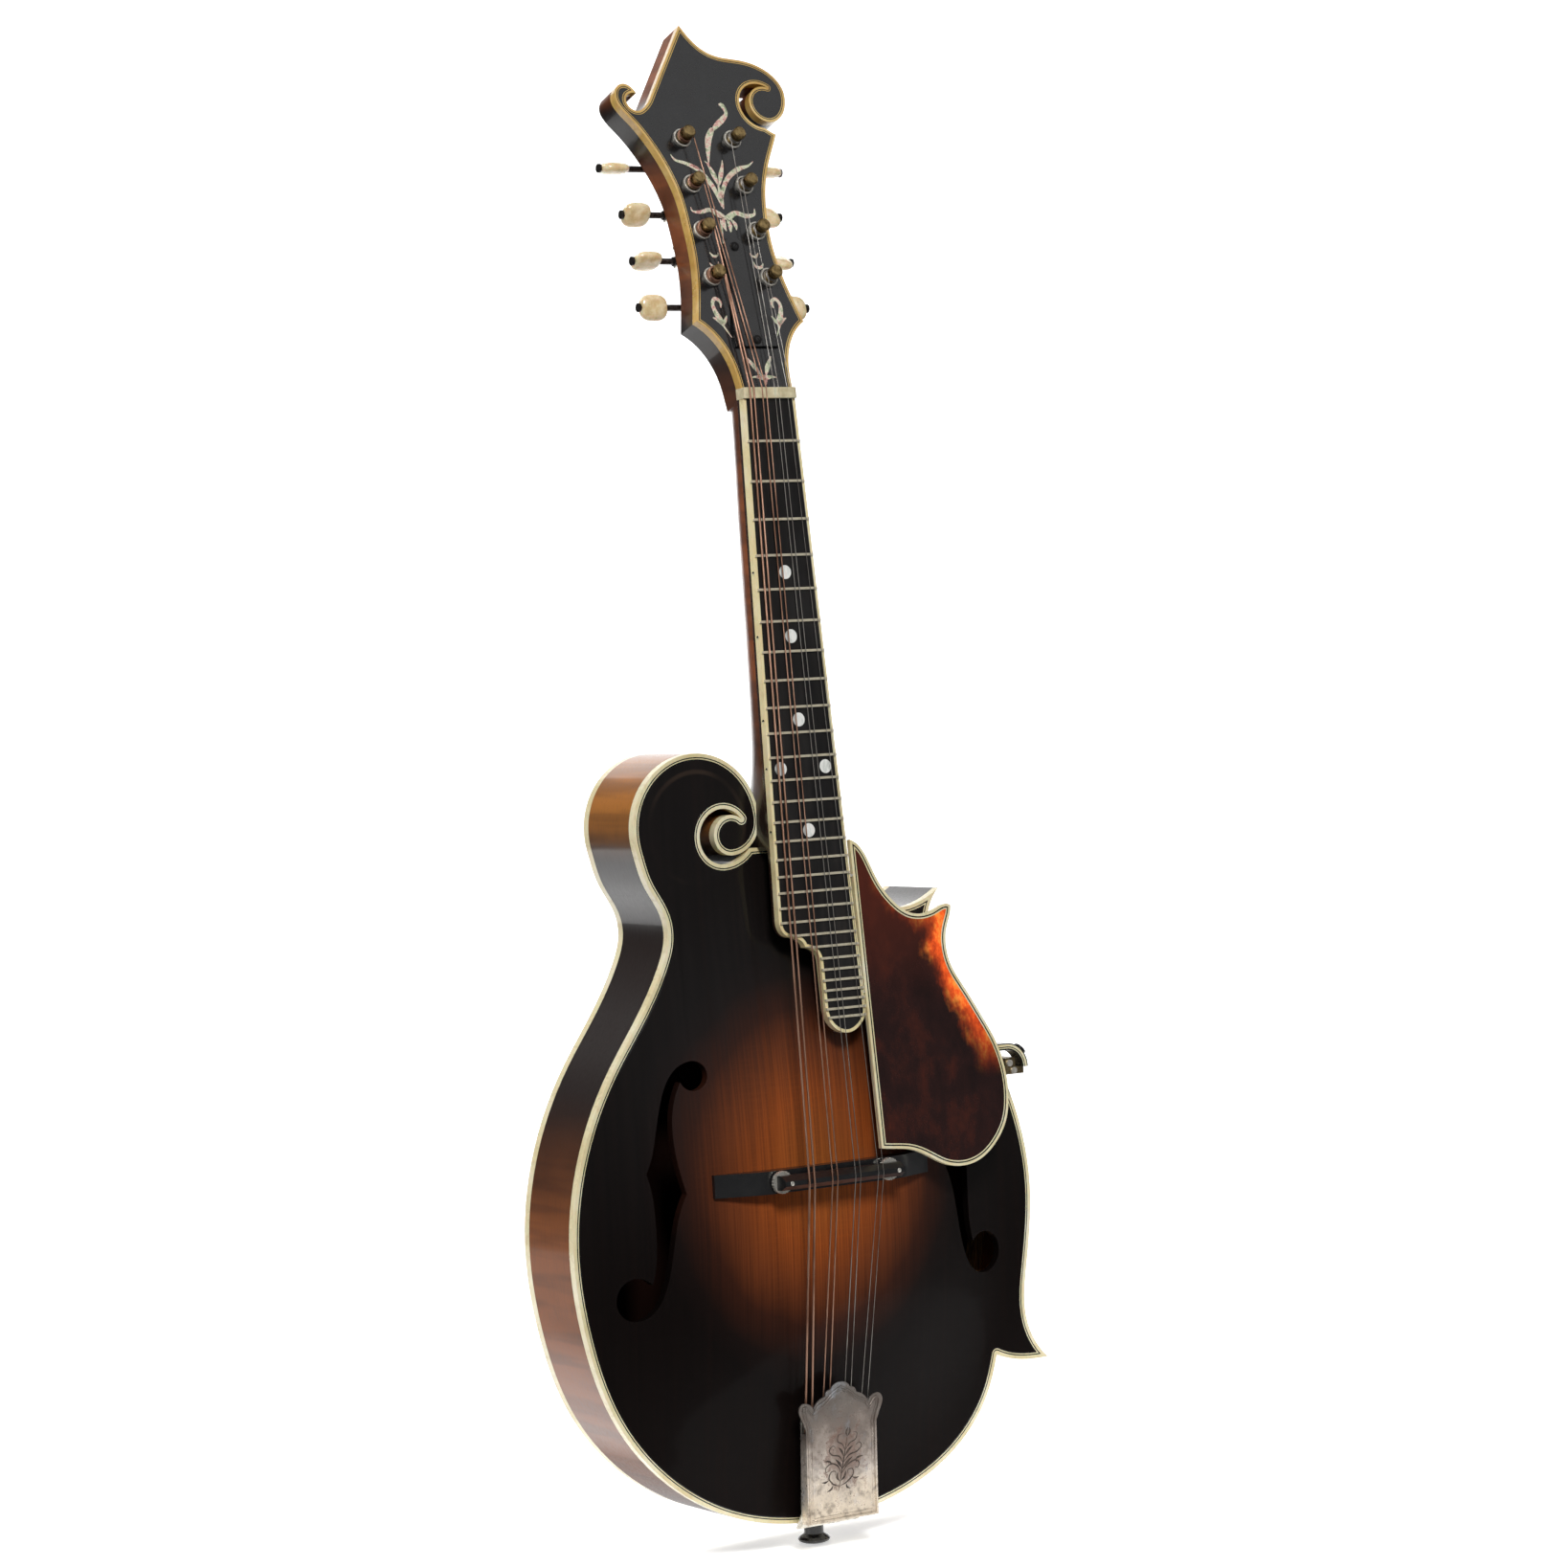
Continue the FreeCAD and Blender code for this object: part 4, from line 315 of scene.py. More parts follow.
def side_lustre(p):
    """Full gloss on the upper sides, worn on the lower bout."""
    height = p.axis("Z")
    foot = p.sums("MULTIPLY", p.remap(height, 0.075, 0.125, 1.0, 0.0), p.remap(height, 0.035, 0.06))
    return p.sums("MAXIMUM", p.remap(height, 0.12, 0.24, 0.3, 1.0), foot)


def back_lustre(p):
    """Even gloss, with little wear."""
    return p.remap(p.noise((9, 9, 9), 2.0), 0.3, 0.7, 0.8, 1.0)


def neck_lustre(p):
    """Full gloss on the neck, dull on the sides of the peghead's crown."""
    return p.remap(p.axis("Z"), 0.655, 0.672, 1.0, 0.04)


def off_level(p, level):
    """How far the place is above or below a level."""
    return p.sums("ABSOLUTE", p.sums("SUBTRACT", p.axis("Z"), level))


def side_shade(p):
    """0 where the sides are amber, 1 where the burst is dark."""
    scroll = p.remap(p.axis("Z"), 0.312, 0.345, 1.0, 0.0)
    lower = p.remap(off_level(p, 0.105), 0.025, 0.11, 0.05, 1.0)
    return p.sums("MULTIPLY", scroll, lower)


def back_shade(p):
    """1 at the edge of the back, and on its faces inside the box as painted shade; 0 in the middle of the back."""
    edge = p.remap(p.oval(BACK_AT, BACK_REACH), 0.35, 1.1)
    # Painted shade: faces inside the box, looking forward, take the dark colour.
    facing = p.axis("Y", p.node("ShaderNodeNewGeometry").outputs["Normal"])
    return p.sums("MAXIMUM", edge, p.remap(facing, -0.2, 0.2, 1.0, 0.0))


def neck_shade(p):
    """0 on the middle of the neck, the peghead's sides and its crown, 1 between them."""
    middle = p.remap(off_level(p, 0.44), 0.03, 0.12)
    head = p.remap(off_level(p, 0.602), 0.022, 0.044)
    crown = p.remap(p.axis("Z"), 0.66, 0.676, 1.0, 0.0)
    return p.sums("MULTIPLY", middle, p.sums("MULTIPLY", head, crown))


def binding(name, shades, stain, foot=None):
    """Aged celluloid; a foot of (direction, level) leaves dark lacquer below that level."""
    p = Paint(name)
    cloud = p.noise((45, 45, 45), 4.0, 0.6)
    grain = p.noise((700, 120, 120), 3.0)
    tone = p.ramp(cloud, tuple(zip((0.3, 0.55, 0.75), (hexed(shade) for shade in shades))))
    colour = p.blend(p.remap(grain, 0.5, 0.8, 0.0, 0.35), tone, hexed(stain))
    if foot:
        way, level = foot
        below = p.remap(p.along(way), level, level + 0.0002, 1.0, 0.0)
        colour = p.blend(below, colour, hexed("2c1a11"))
    p.set(colour=colour, rough=p.remap(cloud, 0.3, 0.7, 0.34, 0.2), gloss=0.5, coat=0.6,
          coat_rough=0.12, under=0.12, depth=0.002)
    p.bumps([(cloud, 0.08, 0.1), scratches(p)], 0.35)
    return p.material


def black_gloss(name, colour, rough, dust=0.3, radius=0.2):
    """Black lacquer, plastic or polished wood with faint dust and wear."""
    p = Paint(name)
    haze = p.noise((120, 120, 120), 4.0, 0.65)
    speck = p.noise((1500, 1500, 1500), 2.0)
    wear_and_highlight = p.blend(p.remap(haze, 0.45, 0.75, 0.0, dust), colour, hexed("3c3733"))
    p.set(colour=p.blend(p.remap(speck, 0.66, 0.74, 0.0, 0.25), wear_and_highlight, hexed("5a5148")),
          rough=p.remap(haze, 0.3, 0.7, rough, rough + 0.08), gloss=0.4, coat=0.5,
          coat_rough=rough * 0.6)
    p.bumps([(haze, 0.04, 0.05), scratches(p)], radius)
    return p.material


def ebony_board():
    """Ebony with open pores, rubbed to an uneven satin."""
    p = Paint("ebony_board")
    pore = p.noise((1600, 1600, 45), 3.0, 0.7)
    wide = p.noise((240, 240, 12), 3.0)
    rubbed = p.noise((55, 55, 28), 3.0)
    tone = p.ramp(wide, ((0.3, hexed("121111")), (0.6, hexed("1d1b1a")), (0.8, hexed("2a2522"))))
    p.set(colour=p.blend(p.remap(pore, 0.58, 0.7, 0.0, 0.7), tone, hexed("0a0807")),
          rough=p.remap(rubbed, 0.35, 0.65, 0.28, 0.46), gloss=0.45, coat=0.25, coat_rough=0.25)
    p.bumps([(pore, 0.25, 0.06), (rubbed, 0.08, 0.1)], 0.2)
    return p.material


def metal(name, light, dark, rough, stain=0.5, scale=300.0, shine=1.0):
    """Aged plating: clouded tarnish, fine brushing, uneven gloss."""
    p = Paint(name)
    cloud = p.noise((scale, scale, scale), 5.0, 0.65)
    fine = p.noise((3000, 3000, 400), 2.0)
    p.set(colour=p.blend(p.remap(cloud, 0.42, 0.7, 0.0, stain), light, dark),
          metal=shine, rough=p.remap(cloud, 0.35, 0.7, rough, rough + 0.25))
    p.bumps([(fine, 0.08, 0.03), (cloud, 0.1, 0.05)], 0.15)
    return p.material


def screw_metal():
    """Nickel, but blued steel for the two screws on the face of the peghead."""
    p = Paint("screw_metal")
    cloud = p.noise((400, 400, 400), 4.0, 0.6)
    level = HEAD_OUT.dot(HEAD.translation)
    front = p.remap(p.along(HEAD_OUT), level - 0.001, level)
    front = p.sums("MULTIPLY", front, p.remap(p.axis("Z"), 0.53, 0.54))
    bright = p.blend(p.remap(cloud, 0.42, 0.7, 0.0, 0.5), hexed("e4dfd4"), hexed("857b6e"))
    p.set(colour=p.blend(front, bright, hexed("1a1817")), metal=0.7,
          rough=p.remap(cloud, 0.35, 0.7, 0.28, 0.5))
    p.bumps([(p.noise((3000, 3000, 400), 2.0), 0.08, 0.03)], 0.1)
    return p.material


def cover_metal():
    """Stamped cover: silver with pits, painted light making it beige at its foot, painted shade and tarnish making
    it brown towards its crown.
    """
    p = Paint("tarnished_and_painted_light_cover")
    height = p.axis("Z")
    cloud = p.noise((85, 85, 60), 5.0, 0.65)
    patch = p.noise((190, 190, 190), 4.0, 0.7)
    pit = p.noise((1100, 1100, 1100), 2.0)
    # Painted light and shade along the height, with tarnish: lit beige at the foot, shaded grey-brown towards the
    # crown.
    climb = p.stirred(height, cloud, 0.05)
    tone = p.ramp(p.remap(climb, 0.008, 0.07), (
        (0.0, hexed("dccdb8")), (0.3, hexed("cfc4b8")), (0.5, hexed("a99d93")),
        (0.75, hexed("7d726a")), (1.0, hexed("6f6862")),
    ))
    tone = p.blend(p.remap(patch, 0.48, 0.7, 0.0, 0.6), tone, hexed("6d6058"))
    tone = p.blend(p.remap(cloud, 0.56, 0.72, 0.0, 0.5), tone, hexed("a9b0b8"))
    middle = p.stirred(p.oval(STAIN_AT, STAIN_REACH), patch, 2.6)
    tone = p.blend(p.remap(middle, 0.4, 0.95, 0.75, 0.0), tone, hexed("6e554a"))
    spots = p.remap(pit, 0.68, 0.75)
    p.set(colour=p.blend(spots, tone, hexed("2c2622")), metal=0.6,
          rough=p.remap(patch, 0.35, 0.7, 0.26, 0.5))
    p.bumps([(p.sums("MULTIPLY", spots, -1.0), 0.5, 0.06), (patch, 0.12, 0.1),
             (p.noise((3000, 3000, 300), 2.0), 0.06, 0.03)], 0.3)
    return p.material


def tortoise():
    """Celluloid: dark red-brown with amber clouds, lit through along its outer upper edge."""
    p = Paint("tortoise_celluloid")
    swirl = p.noise((70, 60, 46), 6.0, 0.62)
    veins = p.noise((150, 120, 90), 5.0, 0.7)
    x, z = p.axis("X"), p.axis("Z")
    height = p.sums("DIVIDE", p.sums("SUBTRACT", z, GUARD_FOOT), GUARD_TALL)
    rim = p.ramp(height, tuple(
        (share, (reach, reach, reach)) for share, reach in GUARD_REACH))
    gap = p.sums("DIVIDE", p.sums("SUBTRACT", p.sums("MULTIPLY", rim, 0.1), x), 0.019)
    side = p.remap(p.stirred(gap, swirl, 1.1), 0.3, 0.8, 1.0, 0.0)
    side = p.sums("MULTIPLY", side, p.remap(z, 0.203, 0.24))
    upper_edge = p.sums("MULTIPLY_ADD", x, GUARD_SLOPE, GUARD_CROWN)
    upper = p.sums("DIVIDE", p.sums("SUBTRACT", upper_edge, z), 0.02)
    top = p.remap(p.stirred(upper, swirl, 1.6), 0.05, 0.9, 0.55, 0.0)
    top = p.sums("MULTIPLY", top, p.remap(x, 0.03, 0.045))
    lit = p.sums("MAXIMUM", side, top)
    deep = p.ramp(swirl, ((0.3, hexed("1a0f0e")), (0.5, hexed("291614")), (0.66, hexed("3f1d16")),
                          (0.82, hexed("6a2e1c"))))
    deep = p.blend(p.remap(z, 0.235, 0.3, 0.0, 0.55), deep, hexed("5e2718"))
    bright = p.ramp(veins, ((0.3, hexed("8e2812")), (0.5, hexed("e0551f")), (0.66, hexed("ff9a3e"))))
    p.set(colour=p.blend(lit, deep, bright), rough=p.remap(veins, 0.3, 0.7, 0.12, 0.22), gloss=0.3,
          coat=0.5, coat_rough=0.04, glow=p.blend(lit, (0.0, 0.0, 0.0), bright), glow_power=0.5)
    p.bumps([(p.noise((24, 24, 24), 2.0), 0.12, 0.4), scratches(p)], 0.3)
    return p.material


def pearl():
    """Abalone: green, cream, pink and brown patches."""
    p = Paint("pearl_shell")
    ripple = p.noise((330, 330, 300), 5.0, 0.7)
    flash = p.noise((110, 110, 110), 3.0)
    tone = p.ramp(ripple, ((0.32, hexed("4a4f42")), (0.42, hexed("a9b38c")), (0.5, hexed("ded7c2")),
                           (0.57, hexed("d39a90")), (0.68, hexed("6f4a3e"))))
    p.set(colour=p.blend(p.remap(flash, 0.5, 0.72, 0.0, 0.55), tone, hexed("c9d0ae")),
          rough=p.remap(ripple, 0.3, 0.7, 0.2, 0.36), gloss=0.5, metal=0.1, coat=0.4,
          coat_rough=0.1)
    p.bumps([(ripple, 0.12, 0.05)])
    return p.material


def dot_pearl():
    """White dots on the face of the board, black ones in its binding."""
    p = Paint("dot_pearl")
    ripple = p.noise((500, 500, 200), 4.0)
    white = p.ramp(ripple, ((0.3, hexed("cfd3cc")), (0.55, hexed("f4f4ef")), (0.75, hexed("e6ded6"))))
    facing = p.node("ShaderNodeNewGeometry").outputs["Normal"]
    aside = p.remap(p.sums("ABSOLUTE", p.axis("X", facing)), 0.6, 0.8)
    p.set(colour=p.blend(aside, white, hexed("14110f")), rough=p.remap(ripple, 0.3, 0.7, 0.15, 0.3),
          coat=0.5, coat_rough=0.1)
    p.bumps([(ripple, 0.1, 0.05)])
    return p.material


def string_metal():
    """Bronze windings on the bass side, plain steel on the treble side."""
    p = Paint("string_metal")
    wound = p.remap(p.axis("X"), -0.0004, 0.0004, 1.0, 0.0)
    age = p.noise((200, 200, 14), 4.0)
    bronze = p.blend(p.remap(age, 0.35, 0.7), hexed("b9907a"), hexed("7d5a48"))
    steel = p.blend(p.remap(age, 0.35, 0.7), hexed("b4afa8"), hexed("77706a"))
    wave = p.node("ShaderNodeTexWave", {"Vector": p.place, "Scale": 420.0}, bands_direction="Z")
    p.set(colour=p.blend(wound, steel, bronze), metal=0.9, rough=p.remap(age, 0.3, 0.7, 0.3, 0.46))
    p.bumps([(p.sums("MULTIPLY", wave.outputs["Fac"], wound), 0.5, 0.08)])
    return p.material


def ivory():
    """Yellowed moulding, cloudy and flecked."""
    p = Paint("ivory_moulding")
    cloud = p.noise((240, 240, 240), 4.0, 0.6)
    fleck = p.noise((900, 900, 900), 2.0)
    tone = p.ramp(cloud, ((0.3, hexed("cbae7c")), (0.5, hexed("e0cca0")), (0.7, hexed("efe2c2"))))
    p.set(colour=p.blend(p.remap(fleck, 0.66, 0.76, 0.0, 0.6), tone, hexed("8c6434")),
          rough=p.remap(cloud, 0.3, 0.7, 0.28, 0.18), gloss=0.5, coat=0.5, coat_rough=0.1,
          under=0.35, depth=0.004)
    p.bumps([(cloud, 0.1, 0.15), scratches(p)])
    return p.material


def bone():
    """Polished bone with short pores."""
    p = Paint("bone")
    cloud = p.noise((220, 220, 220), 3.0)
    pore = p.noise((2500, 800, 800), 2.0)
    tone = p.ramp(cloud, ((0.3, hexed("b9ab86")), (0.6, hexed("d6cba9")), (0.8, hexed("e8e1c8"))))
    p.set(colour=p.blend(p.remap(pore, 0.62, 0.75, 0.0, 0.5), tone, hexed("8d7c58")),
          rough=p.remap(cloud, 0.3, 0.7, 0.42, 0.3), gloss=0.4, under=0.15, depth=0.002)
    p.bumps([(pore, 0.15, 0.05)], 0.25)
    return p.material


def bare_wood():
    """The unfinished woodwork inside the box."""
    p = Paint("bare_wood")
    fibre = p.noise((900, 900, 25), 3.0)
    p.set(colour=p.ramp(fibre, ((0.3, hexed("8a6a45")), (0.7, hexed("c9a877")))),
          rough=p.remap(fibre, 0.3, 0.7, 0.75, 0.6), gloss=0.2)
    p.bumps([(fibre, 0.3, 0.1)])
    return p.material


def engraving():
    """Dark residue in the cut lines of the cover."""
    p = Paint("engraved_lines")
    age = p.noise((700, 700, 700), 3.0)
    p.set(colour=p.ramp(age, ((0.35, hexed("2e2723")), (0.65, hexed("5a4d44")))),
          metal=0.4, rough=p.remap(age, 0.3, 0.7, 0.5, 0.7))
    p.bumps([(age, 0.3, 0.05)])
    return p.material


# Stretch of the flame figure on each axis: bars across the plates and neck, and round the sides.
FLAME_ACROSS, FLAME_ROUND = (16, 20, 170), (150, 12, 150)
BINDING_SHOWN = 0.0038  # depth of the board's binding that stays cream
AMBER, RUSSET = hexed("ab6c2c"), hexed("8a4c28")
MATERIALS = {
    "spruce_top": sunburst_top(),
    "maple_back": figured_maple("maple_back", hexed("7a3e20"), hexed("1c0e0a"), back_shade, back_lustre,
                                FLAME_ACROSS, 0.55),
    "maple_sides": figured_maple("maple_sides", side_light, hexed("1d110d"), side_shade, side_lustre,
                                 FLAME_ROUND, 0.3),
    "inner_wood": bare_wood(),
    "neck_maple": figured_maple("neck_maple", RUSSET, hexed("170e0b"), neck_shade, neck_lustre,
                                FLAME_ACROSS, 0.4),
    "cream_binding": binding("aged_cream_binding", ("d8c896", "ece0b8", "f5ecd2"), "b0935c"),
    "black_veneer": black_gloss("black_veneer", hexed("111112"), 0.22, 0.1),
    "ebony": ebony_board(),
    "fret_wire": metal("fret_wire", hexed("ece2c8"), hexed("b3a684"), 0.32, shine=0.55),
    "pearl": dot_pearl(),
    "string_wire": string_metal(),
    "bone": bone(),
    "steel_rod": metal("steel_rod", hexed("a8a6a2"), hexed("5e5a55"), 0.3),
    "brass": metal("turned_brass", hexed("c9a25a"), hexed("7a5a2c"), 0.25),
    "black_plastic": black_gloss("black_plastic", hexed("0b0b0c"), 0.22, 0.15),
    "nickel": metal("aged_nickel", hexed("ebe7dc"), hexed("8e8476"), 0.26, 0.6, shine=0.75),
    "engraved_nickel": cover_metal(),
    "tortoise": tortoise(),
    "post_brass": metal("post_brass", hexed("a88f62"), hexed("4c3c26"), 0.3, 0.75, 500.0),
    "ivory_button": ivory(),
}
EXTRA = {
    "gold_binding": binding("gold_binding", ("b98f42", "d0a95c", "e2c586"), "86632c"),
    "inlay": pearl(),
    "engraving": engraving(),
    "board_binding": binding("board_binding", ("decb94", "f0e1b2", "f6ebcc"), "b0935c",
                             (BOARD_OUT, BOARD_FACE - BINDING_SHOWN)),
    "turned_ebony": black_gloss("turned_ebony", hexed("100f0f"), 0.24, 0.08),
    "bridge_ebony": black_gloss("bridge_ebony", hexed("161617"), 0.3, 0.05, 0.0),
    "screw_metal": screw_metal(),
    "old_clamp": metal("old_clamp", hexed("8c7c5c"), hexed("2e261c"), 0.28, 0.85, 420.0, shine=0.8),
    # Dark steel for the worm shafts, also used as painted shade in the bushing recesses.
    "dark_steel_and_painted_shade": metal("dark_steel_and_painted_shade", hexed("4a4542"), hexed("17130f"), 0.3, 0.8, 600.0),
}

SLOT_OF = {part["node"]: part["material_slot"] for part in frame["record"]["subparts"]}
for name, obj in NODES.items():
    obj.data.materials.clear()
    obj.data.materials.append(MATERIALS[SLOT_OF[name]])
OVERRIDES = {
    "end_pin": "turned_ebony", "truss_rod_cover": "turned_ebony", "pickguard_bracket": "turned_ebony",
    "bridge_base": "bridge_ebony", "bridge_saddle": "bridge_ebony", "small_screws": "screw_metal",
    "pickguard_clamp": "old_clamp", "peghead_binding": "gold_binding",
    "fingerboard_binding": "board_binding",
}
for name, finish in OVERRIDES.items():
    NODES[name].data.materials[0] = EXTRA[finish]
for name in NODES:
    if name.startswith("worm_shaft"):
        NODES[name].data.materials[0] = EXTRA["dark_steel_and_painted_shade"]

# ---------------------------------------------------------------- geometry helpers

SHARP_ANGLE = math.radians(40)


def piece(name, verts, faces, material, body, matrix=None, smooth=True, stands_for=()):
    """A mesh piece in the row frame that rides on a CAD body, or on none yet."""
    mesh = bpy.data.meshes.new(name)
    if matrix is not None:
        verts = [matrix @ Vector(v) for v in verts]
    mesh.from_pydata([tuple(v) for v in verts], [], faces)
    mesh.validate()
    mesh.update()
    mesh.polygons.foreach_set("use_smooth", [smooth] * len(mesh.polygons))
    if smooth:
        mesh.set_sharp_from_angle(angle=SHARP_ANGLE)
    mesh.materials.append(material)
    obj = bpy.data.objects.new(name, mesh)
    bpy.context.scene.collection.objects.link(obj)
    if body:
        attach(obj, body)
    if stands_for:
        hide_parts(*stands_for)
    return obj


def at(matrix, x, y, z):
    """A point given in millimetres in a tilted frame."""
    return matrix @ (Vector((x, y, z)) * MM)


def spline(points, steps=8):
    """Catmull-Rom points through the given ones, in any number of dimensions."""
    path = [points[0]] + list(points) + [points[-1]]
    out = []
    for i in range(1, len(path) - 2):
        p0, p1, p2, p3 = path[i - 1:i + 3]
        for k in range(steps):
            t = k / steps
            out.append(tuple(
                0.5 * (2 * b + (c - a) * t + (2 * a - 5 * b + 4 * c - d) * t * t
                       + (3 * b - a - 3 * c + d) * t ** 3)
                for a, b, c, d in zip(p0, p1, p2, p3)))
    out.append(tuple(path[-2]))
    return out


class Shape:
    """Vertices and faces gathered from several small forms."""

    def __init__(self):
        self.verts, self.faces = [], []

    def add(self, verts, faces):
        base = len(self.verts)
        self.verts += [tuple(v) for v in verts]
        self.faces += [tuple(base + i for i in face) for face in faces]

    def leaf(self, points, low, high, steps=8):
        """A flat leaf: points of (x, y, width) in millimetres along its spine."""
        path = spline(points, steps)
        verts = []
        for i, (x, y, width) in enumerate(path):
            ahead = path[min(i + 1, len(path) - 1)]
            behind = path[max(i - 1, 0)]
            dx, dy = ahead[0] - behind[0], ahead[1] - behind[1]
            size = math.hypot(dx, dy) or 1.0
            nx, ny = -dy / size * max(width, 0.02) / 2, dx / size * max(width, 0.02) / 2
            for z in (high, low):
                verts.append(((x + nx) * MM, (y + ny) * MM, z * MM))
                verts.append(((x - nx) * MM, (y - ny) * MM, z * MM))
        faces = []
        for i in range(len(path) - 1):
            a, b = 4 * i, 4 * i + 4
            faces += [(a, a + 1, b + 1, b), (a + 2, a, b, b + 2), (a + 1, a + 3, b + 3, b + 1)]
        faces += [(0, 2, 3, 1), (b, b + 1, b + 3, b + 2)]
        self.add(verts, faces)

    def tube(self, path, radius, sides=8, closed=False):
        """A round bar along a path of points in metres."""
        count = len(path)
        verts, faces = [], []
        frame_up = None
        for i in range(count):
            ahead = Vector(path[(i + 1) % count if closed else min(i + 1, count - 1)])
            behind = Vector(path[(i - 1) % count if closed else max(i - 1, 0)])
            way = (ahead - behind).normalized()
            if frame_up is None:
                frame_up = way.orthogonal().normalized()
            frame_up = (frame_up - way * frame_up.dot(way)).normalized()
            other = way.cross(frame_up)
            for k in range(sides):
                turn = 2 * math.pi * k / sides
                verts.append(Vector(path[i]) + radius * (
                    frame_up * math.cos(turn) + other * math.sin(turn)))
        for i in range(count if closed else count - 1):
            for k in range(sides):
                a, b = i * sides + k, i * sides + (k + 1) % sides
                c, d = (i + 1) % count * sides + (k + 1) % sides, (i + 1) % count * sides + k
                faces.append((a, b, c, d))
        if not closed:
            faces.append(tuple(range(sides - 1, -1, -1)))
            faces.append(tuple((count - 1) * sides + k for k in range(sides)))
        self.add(verts, faces)

    def lathe(self, profile, matrix, sides=40):
        """A turned form: profile of (radius, height) in millimetres, ends on the axis."""
        verts, faces = [], []
        rings = []
        for radius, height in profile:
            if radius <= 0:
                rings.append([len(verts)])
                verts.append(matrix @ Vector((0, 0, height * MM)))
                continue
            rings.append(list(range(len(verts), len(verts) + sides)))
            for k in range(sides):
                turn = 2 * math.pi * k / sides
                verts.append(matrix @ Vector((
                    radius * MM * math.cos(turn), radius * MM * math.sin(turn), height * MM)))
        for low, high in zip(rings, rings[1:]):
            for k in range(sides):
                j = (k + 1) % sides
                if len(low) == 1:
                    faces.append((low[0], high[k], high[j]))
                elif len(high) == 1:
                    faces.append((low[k], low[j], high[0]))
                else:
                    faces.append((low[k], low[j], high[j], high[k]))
        self.add(verts, faces)

    def slotted_dome(self, matrix, radius, height, slot, depth):
        """A screw head: a dome with a straight slot, in millimetres."""
        half = slot / 2
        spots = [-radius + 0.02, -radius * 0.85, -radius * 0.6, -radius * 0.35, -half, -half, half,
                 half, radius * 0.35, radius * 0.6, radius * 0.85, radius - 0.02]
        rows = 10
        verts, faces = [], []
        for i, x in enumerate(spots):
            reach = math.sqrt(max(radius * radius - x * x, 0.0))
            sunk = 5 <= i <= 6
            for j in range(rows + 1):
                y = reach * math.sin(math.pi * (j / rows - 0.5))
                out = height * math.sqrt(max(1 - (x * x + y * y) / (radius * radius), 0.0)) ** 0.7
                if sunk:
                    out = min(out, height - depth)
                verts.append(matrix @ (Vector((x, y, out)) * MM))
        for i in range(len(spots) - 1):
            for j in range(rows):
                a, b = i * (rows + 1) + j, (i + 1) * (rows + 1) + j
                faces.append((a, b, b + 1, a + 1))
        self.add(verts, faces)


def stand_on(point, out, turn=0.0):
    """Frame at a point with Z along out, turned about it."""
    out = Vector(out).normalized()
    matrix = out.to_track_quat("Z", "Y").to_matrix().to_4x4() @ Matrix.Rotation(turn, 4, "Z")
    matrix.translation = Vector(point)
    return matrix


# ---------------------------------------------------------------- peghead inlay

# Strokes of (x, distance from the nut, width) in millimetres on the peghead's face.
INLAY_LOW, INLAY_HIGH = -0.05, 0.05
PLUME = (
    ((-2.0, 119.0, 0.4), (-0.6, 126.0, 2.4), (1.2, 132.0, 3.4), (4.0, 136.5, 2.6), (4.6, 138.0, 0.8)),
    ((3.6, 135.6, 0.6), (7.5, 139.2, 2.6), (11.6, 142.4, 2.8), (14.6, 145.8, 1.8), (13.4, 149.8, 2.4),
     (11.6, 150.2, 0.8)),
)
SPRAY = (
    ((-0.4, 97.0, 0.6), (-1.4, 103.0, 2.0), (-3.6, 109.0, 2.6), (-8.6, 115.8, 2.6),
     (-14.6, 119.0, 1.8), (-20.0, 120.6, 1.2), (-22.0, 123.6, 0.4)),
    ((0.6, 100.0, 0.6), (2.6, 106.0, 2.0), (6.8, 112.0, 2.4), (13.4, 116.6, 2.4), (19.6, 118.6, 1.2),
     (23.2, 121.0, 0.3)),
    ((0.4, 108.0, 0.5), (-0.6, 113.0, 2.6), (-2.4, 118.6, 1.2), (-4.0, 120.6, 0.3)),
    ((1.0, 108.0, 0.5), (3.0, 113.0, 2.4), (5.2, 118.0, 1.4), (6.0, 121.2, 0.3)),
    ((0.2, 96.0, 0.6), (0.4, 102.0, 2.2), (0.4, 109.0, 0.6)),
)
WINGS = (
    ((-17.8, 96.6, 0.4), (-17.0, 94.4, 1.0), (-12.6, 94.2, 1.8), (-7.6, 95.4, 2.2), (-3.0, 93.0, 3.2),
     (0.2, 91.6, 1.0)),
    ((17.4, 96.4, 0.4), (16.4, 93.4, 1.4), (11.6, 92.6, 2.4), (6.4, 94.0, 2.4), (2.0, 91.8, 3.0),
     (-0.6, 91.0, 1.0)),
    ((-1.0, 91.6, 0.8), (-1.8, 88.2, 2.6), (-1.2, 84.6, 0.4)),
    ((0.8, 91.0, 0.8), (1.6, 87.6, 2.4), (1.0, 83.8, 0.4)),
    ((2.8, 91.0, 0.6), (4.6, 88.0, 2.0), (4.6, 85.2, 0.3)),
    ((-3.0, 90.6, 0.6), (-3.6, 85.0, 1.0), (-4.6, 78.0, 0.4), (-5.4, 74.0, 0.2)),
)
CORNERS = (
    ((14.6, 45.6, 0.6), (14.2, 48.6, 1.6), (16.6, 50.2, 1.8), (18.6, 47.6, 1.8), (18.0, 43.4, 2.4),
     (16.4, 39.4, 3.0), (15.4, 36.4, 1.2), (12.4, 30.6, 0.4)),
    ((20.2, 40.6, 0.4), (18.2, 39.6, 1.6), (15.8, 37.4, 1.6)),
    ((12.4, 41.6, 0.4), (13.6, 39.4, 1.6), (15.4, 37.2, 1.4)),
)
